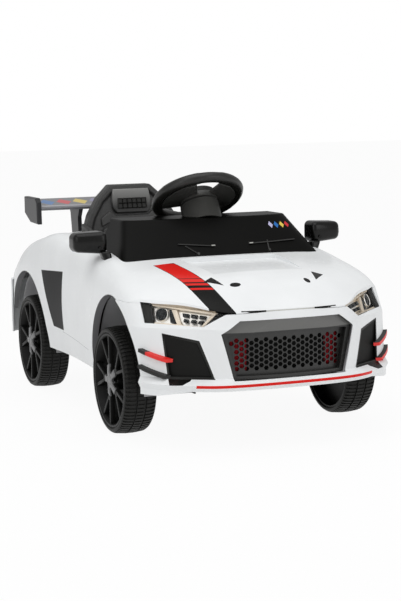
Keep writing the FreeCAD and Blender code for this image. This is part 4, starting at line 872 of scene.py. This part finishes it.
seat_skin.inputs["Specular IOR Level"].default_value = 0.6
BACK_SLOPE = 0.235
BACK_FOOT = (366.0, 236.0)
BACK_THICK = 36.0
lean = Matrix.Identity(4)
lean[1][2] = BACK_SLOPE
lean[1][3] = BACK_FOOT[0] - BACK_SLOPE * BACK_FOOT[1]


def both_sides(half):
    # Whole outline from its left half.
    return half + [(-x, z) for x, z in reversed(half) if x]


def slab(shape, outline, near, far):
    # Upright slab from an outline of (x, z) points, its front face at y = near; gives that face back.
    face = shape.faces.new([shape.verts.new((x, near, z)) for x, z in outline])
    push_out(shape, face, (0, far - near, 0))
    bmesh.ops.recalc_face_normals(shape, faces=shape.faces)
    return face


def soften(piece, width_mm, segments=3):
    # Round the edges as blow moulding leaves them.
    edge = piece.modifiers.new("soft_edge", "BEVEL")
    edge.width = width_mm / 1000
    edge.segments = segments
    edge.limit_method = "ANGLE"
    edge.angle_limit = math.radians(28)


BACK_RIM = 15.0
FIELD_STEP = 4.0
FIELD_DEPTH = 7.0
SEAT_OUTLINE = [(138, 212), (138, 380), (120, 430), (92, 474), (56, 508)]
seat_back = bmesh.new()
field = slab(seat_back, both_sides(SEAT_OUTLINE), 0, BACK_THICK)
bmesh.ops.inset_individual(seat_back, faces=[field], thickness=BACK_RIM, depth=0.0, use_even_offset=True)
bmesh.ops.inset_individual(seat_back, faces=[field], thickness=FIELD_STEP, depth=-FIELD_DEPTH,
                           use_even_offset=True)
bmesh.ops.transform(seat_back, matrix=lean, verts=seat_back.verts)
back_piece = settle("seat_back", seat_back, "car", "black_plastic", seat_pe)
soften(back_piece, 4.0)
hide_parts("seat")

# The head pad is a separate satin insert with a 3 mm grain; a painted sheen makes it paler towards its top
# edge.
head_pe = moulded("grey_satin_insert_pe_painted_sheen", "#2c2c2b", "#262625", 0.42, 3.0, 0.1, 0.4)
x_axis, y_axis, z_axis = plan_axes(head_pe, place_of(head_pe))
TOP_SHEEN_Z = (0.455, 0.505)
painted_top_sheen = add(head_pe, "ShaderNodeMapRange",
             {"Value": z_axis, "From Min": TOP_SHEEN_Z[0], "From Max": TOP_SHEEN_Z[1]})
print_on(head_pe, painted_top_sheen.outputs["Result"], "#8a8a88")
PAD_BACK = 9.0
PADS = {"seat_head_pad": ([(50, 497), (54, 470), (53, 447), (44, 434)], -3.0),
        "seat_shoulder_pad": ([(46, 428), (60, 441), (88, 421), (87, 399), (46, 418)], 1.0),
        "seat_lumbar_pad": ([(46, 412), (86, 393), (98, 300), (98, 240)], -4.0)}
for name, (half, near) in PADS.items():
    pad = bmesh.new()
    slab(pad, both_sides(half), near, PAD_BACK)
    bmesh.ops.transform(pad, matrix=lean, verts=pad.verts)
    soften(settle(name, pad, "car", "black_plastic", head_pe if "head" in name else seat_pe), 3.0)

# Twelve shallow pockets in two rows are let into the head pad.
SLOTS_HALF = (40.0, 13.5)
SLOTS_Y = -6.4
SLOTS_Z = 460.0
slots = bmesh.new()
bmesh.ops.create_grid(slots, x_segments=6, y_segments=2, size=1.0)
bmesh.ops.scale(slots, vec=(*SLOTS_HALF, 1), verts=slots.verts)
turn_about(slots, slots.verts, 90, "X")
bmesh.ops.translate(slots, vec=(0, SLOTS_Y, SLOTS_Z), verts=slots.verts)
bmesh.ops.inset_individual(slots, faces=slots.faces[:], thickness=1.5, depth=-2.6)
bmesh.ops.transform(slots, matrix=lean, verts=slots.verts)
bmesh.ops.recalc_face_normals(slots, faces=slots.faces)
bmesh.ops.solidify(slots, geom=slots.faces[:], thickness=1.0)
settle("seat_head_slots", slots, "car", "black_plastic", black_pp)

# The base is a wedge between two cheeks.
SEAT_HALF = 136.0
CHEEK_X = 142.0
CHEEK_THICK = 12.0
CHEEK_SIDE = [(75, 204), (70, 250), (300, 262), (352, 400), (420, 410), (395, 204)]
BASE_SIDE = [(64, 180), (60, 214), (90, 226), (330, 206), (368, 238), (372, 190), (340, 172)]
seat_base = bmesh.new()
base_face = seat_base.faces.new([seat_base.verts.new((-SEAT_HALF, y, z)) for y, z in BASE_SIDE])
push_out(seat_base, base_face, (2 * SEAT_HALF, 0, 0))
for sign in (-1, 1):
    cheek = seat_base.faces.new([seat_base.verts.new((sign * CHEEK_X, y, z)) for y, z in CHEEK_SIDE])
    push_out(seat_base, cheek, (-CHEEK_THICK * sign, 0, 0))
soften(settle("seat_base", seat_base, "car", "black_plastic", seat_pe), 4.0)

# Five cross ribs on the cushion follow the base's slope.
CUSHION_HALF = (96.0, 113.0)
CUSHION_Y = 208.0
CUSHION_FALL = 20 / 240
CUSHION_FRONT_Y = 90.0
CUSHION_FRONT_Z = 226.5
cushion = bmesh.new()
bmesh.ops.create_grid(cushion, x_segments=1, y_segments=5, size=1.0)
bmesh.ops.scale(cushion, vec=(*CUSHION_HALF, 1), verts=cushion.verts)
bmesh.ops.translate(cushion, vec=(0, CUSHION_Y, 0), verts=cushion.verts)
cushion_slope = Matrix.Identity(4)
cushion_slope[2][1] = -CUSHION_FALL
cushion_slope[2][3] = CUSHION_FRONT_Z + CUSHION_FRONT_Y * CUSHION_FALL
bmesh.ops.transform(cushion, matrix=cushion_slope, verts=cushion.verts)
bmesh.ops.inset_individual(cushion, faces=cushion.faces[:], thickness=2.0, depth=5.0)
# A skirt lets the cushion 3.5 mm into the base, and its underside is closed.
SKIRT = 4.0
skirt = bmesh.ops.extrude_edge_only(cushion, edges=[e for e in cushion.edges if e.is_boundary])["geom"]
bmesh.ops.translate(cushion, vec=(0, 0, -SKIRT),
                    verts=[v for v in skirt if isinstance(v, bmesh.types.BMVert)])
bmesh.ops.holes_fill(cushion, edges=[e for e in cushion.edges if e.is_boundary], sides=0)
soften(settle("seat_cushion_ribs", cushion, "car", "black_plastic", seat_pe), 2.0)

# Mirrors: hollow black gloss shells with a creased front, screwed through a short foot to the door top.
# Each holds a foil-backed acrylic glass that faces the driver.
MIRROR_SIZE = (77, 49, 52)
MIRROR_MIDDLE = (296, -137, 409.5)
MIRROR_ROUND = 13.0
# The outer end is lower, drawn to one level, and its front edge swept back.
OUTER_FROM_X = 300.0
OUTER_SHRINK = 0.82
OUTER_LEVEL_Z = 418.0
OUTER_SWEEP = 9.0
CREASE_AT_Z = 424.0
CREASE_TILT = 0.05
CREASE_UP_TO_Y = -140.0
CREASE_PROUD = 1.8
FOOT_SIZE = (24, 26, 46)
FOOT_MIDDLE = (257, -159, 367)
FOOT_TAPER = 11.0
FOOT_LEAN = (7, 4, 0)
PLUG_LINE = [(0.0, 0.01), (0.0, 4.0), (1.6, 3.6), (1.6, 2.2), (0.9, 1.8), (0.9, 0.01)]
PLUG_AT = (276, -161.6, 399)
# Black polypropylene with a piano finish, all but free of grain.
mirror_pp = moulded("black_piano_pp", "#0a0a09", "#080807", 0.22, 7.0, 0.02, 0.28)
for side, sign in (("left", 1), ("right", -1)):
    shell = bmesh.new()
    bmesh.ops.create_cube(shell, size=1.0)
    bmesh.ops.scale(shell, vec=MIRROR_SIZE, verts=shell.verts)
    bmesh.ops.translate(shell, vec=MIRROR_MIDDLE, verts=shell.verts)
    outer = [v for v in shell.verts if v.co.x > OUTER_FROM_X]
    bmesh.ops.scale(shell, vec=(1, 1, OUTER_SHRINK), verts=outer,
                    space=Matrix.Translation((0, 0, -OUTER_LEVEL_Z)))
    bmesh.ops.translate(shell, vec=(0, OUTER_SWEEP, 0),
                        verts=[v for v in outer if v.co.y < MIRROR_MIDDLE[1]])
    glass_side = max(shell.faces, key=lambda f: f.calc_center_median().y)
    rim = set(glass_side.edges)
    round_edges(shell, [e for e in shell.edges if e not in rim], MIRROR_ROUND, 5)
    glass_side = max(shell.faces, key=lambda f: f.calc_center_median().y)
    bmesh.ops.inset_individual(shell, faces=[glass_side], thickness=3.0, depth=0.0, use_even_offset=True)
    bmesh.ops.inset_individual(shell, faces=[glass_side], thickness=0.6, depth=-3.5, use_even_offset=True)
    bmesh.ops.bisect_plane(shell, geom=shell.verts[:] + shell.edges[:] + shell.faces[:],
                           plane_co=(0, 0, CREASE_AT_Z), plane_no=(CREASE_TILT, 0, 1), dist=0.001)
    crease = [v for v in shell.verts
              if abs(v.co.z - CREASE_AT_Z + CREASE_TILT * v.co.x) < 0.01 and v.co.y < CREASE_UP_TO_Y]
    bmesh.ops.translate(shell, vec=(0, -CREASE_PROUD, 0), verts=crease)
    foot = bmesh.ops.create_cube(shell, size=1.0)["verts"]
    bmesh.ops.scale(shell, vec=FOOT_SIZE, verts=foot)
    bmesh.ops.translate(shell, vec=FOOT_MIDDLE, verts=foot)
    foot_top = [v for v in foot if v.co.z > FOOT_MIDDLE[2]]
    bmesh.ops.translate(shell, vec=(-FOOT_TAPER, 0, 0),
                        verts=[v for v in foot if v not in foot_top and v.co.x > FOOT_MIDDLE[0]])
    bmesh.ops.translate(shell, vec=FOOT_LEAN, verts=foot_top)
    round_edges(shell, list({e for v in foot for e in v.link_edges}), 5.0, 3)
    plug = bmesh.new()
    spun(plug, PLUG_LINE, 20)
    turn_about(plug, plug.verts, -90, "Z")
    bmesh.ops.translate(plug, vec=PLUG_AT, verts=plug.verts)
    for shape, name in ((shell, "mirror_shell_"), (plug, "mirror_screw_plug_")):
        bmesh.ops.scale(shape, vec=(sign, 1, 1), verts=shape.verts)
        housing = settle(name + side, shape, "car", "gloss_black", mirror_pp)
        if shape is shell:
            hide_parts("mirror_" + side)
# Foil-backed acrylic: a cool mirror shine, a little streaked.
mirror_foil = plated("mirror_foil_acrylic", "#d9dde0", "#cfd4d8", 0.1)
dress(mirror_foil, "mirror_glasses")

# Side blades: dark grey polypropylene panels, moulded with a satin skin.
# They are let into the flanks behind the doors and held by snap tabs.
# A 1.2 mm grain breaks their sheen.
blade_pp = moulded("dark_grey_satin_pp", "#1e1e1f", "#1a1a1b", 0.5, 1.2, 0.08, 0.15)
dress(blade_pp, "side_blade_left", "side_blade_right")

# Rear wing: a hollow dark grey blade between two end plates, on two stays bolted through the rear deck.
# Printed lozenges in four colours lie on its upper face; the plates and stays are plain.
# The plates' dark grey polypropylene has a 1.2 mm grain; the blade's is painted paler, as a sheen on its
# upper face.
wing_pp = moulded("dark_grey_wing_pp", "#2c2c2e", "#272729", 0.38, 1.2, 0.05, 0.4)
dress(wing_pp, "wing_endplate_left", "wing_endplate_right", "wing_stays")
# The blade's pale grey ground is painted sheen; the lozenges on it are print.
wing_print_and_sheen = moulded("dark_grey_printed_wing_pp_painted_sheen", "#7a7a7e", "#717175", 0.34, 1.2, 0.05, 0.6)
LOZENGES = [(-200, "#4a78b0"), (-154, "#c8434a"), (-108, "#dcc257"), (-62, "#8b87a6"), (62, "#8b87a6"),
            (108, "#dcc257"), (154, "#c8434a"), (200, "#4a78b0")]
WING_MIDDLE_Y = 533.0
WING_LOZENGE_HALVES = (21.0, 42.0)
for x, code in LOZENGES:
    lozenge(wing_print_and_sheen, x, WING_MIDDLE_Y, *WING_LOZENGE_HALVES, code)
x_axis, y_axis, z_axis = plan_axes(wing_print_and_sheen, place_of(wing_print_and_sheen))
# Painted highlight: a pale line along the blade's front edge.
HIGHLIGHT_Y = (470.0, 487.0)
HIGHLIGHT_Z = (459.0, 470.0)
front_edge_highlight = overlap(wing_print_and_sheen, within(wing_print_and_sheen, y_axis, *HIGHLIGHT_Y),
                     within(wing_print_and_sheen, z_axis, *HIGHLIGHT_Z))
print_on(wing_print_and_sheen, front_edge_highlight, "#a4a4a8")
dress(wing_print_and_sheen, "wing_blade")

# Steering wheel: two black shells snapped round a boss, with three spokes and a grained rim.
# It turns on the sloping column; a pad with two red buttons is clipped into the boss.
WHEEL_AT = (0.0, -66.0, 498.0)
WHEEL_TILT = math.radians(-31.4)
RIM_RING_R = 98.5
RIM_TUBE_R = 12.6
GRIP_SWELL = 1.055
GRIPS = [(22, 76), (104, 158)]
SPOKE_TOP = -4.6
SPOKE_THICK = 7.0
BOSS_LINE = [(-20, 0.01), (-20, 40), (-17, 45), (-6, 46), (-3, 44.5), (-3, 35), (-12.6, 34.5),
             (-12.6, 0.01)]
wheel = bmesh.new()
tube = bmesh.ops.create_circle(wheel, cap_ends=False, segments=18, radius=RIM_TUBE_R)["verts"]
turn_about(wheel, tube, 90, "X")
bmesh.ops.translate(wheel, vec=(RIM_RING_R, 0, 0), verts=tube)
bmesh.ops.spin(wheel, geom=wheel.verts[:] + wheel.edges[:], cent=(0, 0, 0), axis=(0, 0, 1), angle=math.tau,
               steps=108, use_merge=True)
for v in wheel.verts:
    turn = math.degrees(math.atan2(v.co.y, v.co.x)) % 180
    centre = Vector((v.co.x, v.co.y, 0)).normalized() * RIM_RING_R
    swell = GRIP_SWELL if any(low < turn < high for low, high in GRIPS) else 1.0
    v.co = centre + (v.co - centre) * swell
boss = bmesh.new()
spun(boss, BOSS_LINE, 48)
turn_about(boss, boss.verts, -90, "Y")
SPOKES = [[(16, -42), (30, -83), (58, -68), (78, -45), (89, -20), (90, 14), (84, 31), (39, 22), (44, -6),
           (33, -30)], [(-13, 39), (13, 39), (13, 90), (-13, 90)]]
SPOKES.append([(-x, y) for x, y in reversed(SPOKES[0])])
for outline in SPOKES:
    spoke = boss.faces.new([boss.verts.new((x, y, SPOKE_TOP)) for x, y in outline])
    bmesh.ops.extrude_face_region(boss, geom=[spoke])
    bmesh.ops.translate(boss, vec=(0, 0, -SPOKE_THICK), verts=spoke.verts)
    bmesh.ops.recalc_face_normals(boss, faces=boss.faces)
    round_edges(boss, list({e for v in spoke.verts for e in v.link_edges}), 2.0, 3)
wheel_stand = Matrix.Translation(WHEEL_AT) @ Matrix.Rotation(WHEEL_TILT, 4, "X")
# Black PVC with a 2.2 mm leather grain and a soft shine.
rim_pvc = moulded("black_grained_pvc", "#1d1d1b", "#181816", 0.38, 2.2, 0.16, 0.45)
# Painted sheen: the boss and spokes get a charcoal paler than their black; a 2 mm grain just breaks the
# shine.
column_sheen_pp = moulded("charcoal_pp_painted_sheen", COLUMN_SHEEN, "#353533", 0.34, 2.0, 0.05, 0.4)
for name, shape, finish in (("steering_rim", wheel, rim_pvc), ("steering_boss", boss, column_sheen_pp)):
    bmesh.ops.transform(shape, matrix=wheel_stand, verts=shape.verts)
    turned = settle(name, shape, "steering", "black_plastic", finish)
    if shape is wheel:
        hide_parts("steering_wheel")
dress(black_pp, "steering_pad")

# Pedal: a ribbed dark grey foot plate on a pin in the floor, returned by a spring.
# Raised ribs 9 mm apart give the shoe a grip; the polypropylene between them has a dull 1.2 mm grain.
PEDAL_RIB_MM = 9.0
pedal_pp = moulded("dark_grey_ribbed_pp", "#565654", "#4d4d4b", 0.5, 1.2, 0.08, 0.35)
ribbed(pedal_pp, PEDAL_RIB_MM, 1.2, 0.8, "Y")
dress(pedal_pp, "pedal")

# Studio: a seamless white paper floor, three soft lamps under a pale sky and a long lens.
# The view is from the front right, a little above the hood.
FLOOR_HALF = 20.0
floor_shape = bmesh.new()
bmesh.ops.create_grid(floor_shape, x_segments=1, y_segments=1, size=FLOOR_HALF)
floor_data = bpy.data.meshes.new("studio_floor")
floor_shape.to_mesh(floor_data)
floor_shape.free()
studio_floor = bpy.data.objects.new("studio_floor", floor_data)
bpy.context.scene.collection.objects.link(studio_floor)
# White paper: the lamps draw a soft shadow on it; to the camera and in reflections it is lifted to white.
PAPER_LIFT = 0.94
paper = bpy.data.materials.new("white_paper")
paper.use_nodes = True
paper.node_tree.nodes.clear()
seen = add(paper, "ShaderNodeLightPath", {})
seen_or_glossy = calc(paper, "MAXIMUM", seen.outputs["Is Camera Ray"], seen.outputs["Is Glossy Ray"])
seen_any = calc(paper, "MAXIMUM", seen_or_glossy, seen.outputs["Is Transmission Ray"])
share = calc(paper, "MULTIPLY", seen_any, PAPER_LIFT)
matte = add(paper, "ShaderNodeBsdfDiffuse", {"Color": linear("#f4f4f4")})
glow = add(paper, "ShaderNodeEmission", {"Color": (1, 1, 1, 1), "Strength": 1.0})
blended = add(paper, "ShaderNodeMixShader", {0: share, 1: matte.outputs[0], 2: glow.outputs[0]})
add(paper, "ShaderNodeOutputMaterial", {"Surface": blended.outputs[0]})
floor_data.materials.append(paper)

SKY_LIGHT = 0.55
sky = bpy.data.worlds.new("studio_sky")
sky.use_nodes = True
bpy.context.scene.world = sky
seen_sky = add(sky, "ShaderNodeLightPath", {})
sky_seen = calc(sky, "MAXIMUM", seen_sky.outputs["Is Camera Ray"], seen_sky.outputs["Is Transmission Ray"])
level = add(sky, "ShaderNodeMapRange", {"Value": sky_seen, "To Min": SKY_LIGHT, "To Max": 1.0})
backdrop = sky.node_tree.nodes["Background"]
backdrop.inputs["Color"].default_value = (1, 1, 1, 1)
sky.node_tree.links.new(level.outputs["Result"], backdrop.inputs["Strength"])

SOFTBOXES = [("top_softbox", (-0.3, -0.6, 2.6), 2.4, 26.0), ("left_softbox", (-2.6, -1.6, 1.5), 1.8, 12.0),
             ("front_softbox", (1.4, -2.8, 1.4), 1.6, 12.0)]
AIM = Vector((0, 0, 0.25))
for name, spot, size, power in SOFTBOXES:
    lamp = bpy.data.lights.new(name, "AREA")
    lamp.size = size
    lamp.energy = power
    holder = bpy.data.objects.new(name, lamp)
    holder.location = spot
    holder.rotation_euler = (AIM - Vector(spot)).to_track_quat("-Z", "Y").to_euler()
    bpy.context.scene.collection.objects.link(holder)

CAMERA_AT = (-1.372, -3.591, 0.735)
CAMERA_TURN = -21.31
CAMERA_RISE = 7.22
CAMERA_ROLL = 1.01
SENSOR_MM = 36.0
LENS_MM = 95.2
turn = math.radians(CAMERA_TURN)
rise = math.radians(CAMERA_RISE)
roll = math.radians(CAMERA_ROLL)
back = Vector((math.sin(turn) * math.cos(rise), -math.cos(turn) * math.cos(rise), math.sin(rise)))
right = (-back).cross(Vector((0, 0, 1))).normalized()
down = (-back).cross(right)
side = math.cos(roll) * right + math.sin(roll) * down
above = math.sin(roll) * right - math.cos(roll) * down
camera = bpy.data.cameras.new("photo_camera")
camera.sensor_width = SENSOR_MM
camera.lens = LENS_MM
viewer = bpy.data.objects.new("photo_camera", camera)
viewer.matrix_world = Matrix.Translation(CAMERA_AT) @ Matrix((side, above, back)).transposed().to_4x4()
bpy.context.scene.collection.objects.link(viewer)
bpy.context.scene.camera = viewer
bpy.context.scene.view_settings.view_transform = "Standard"
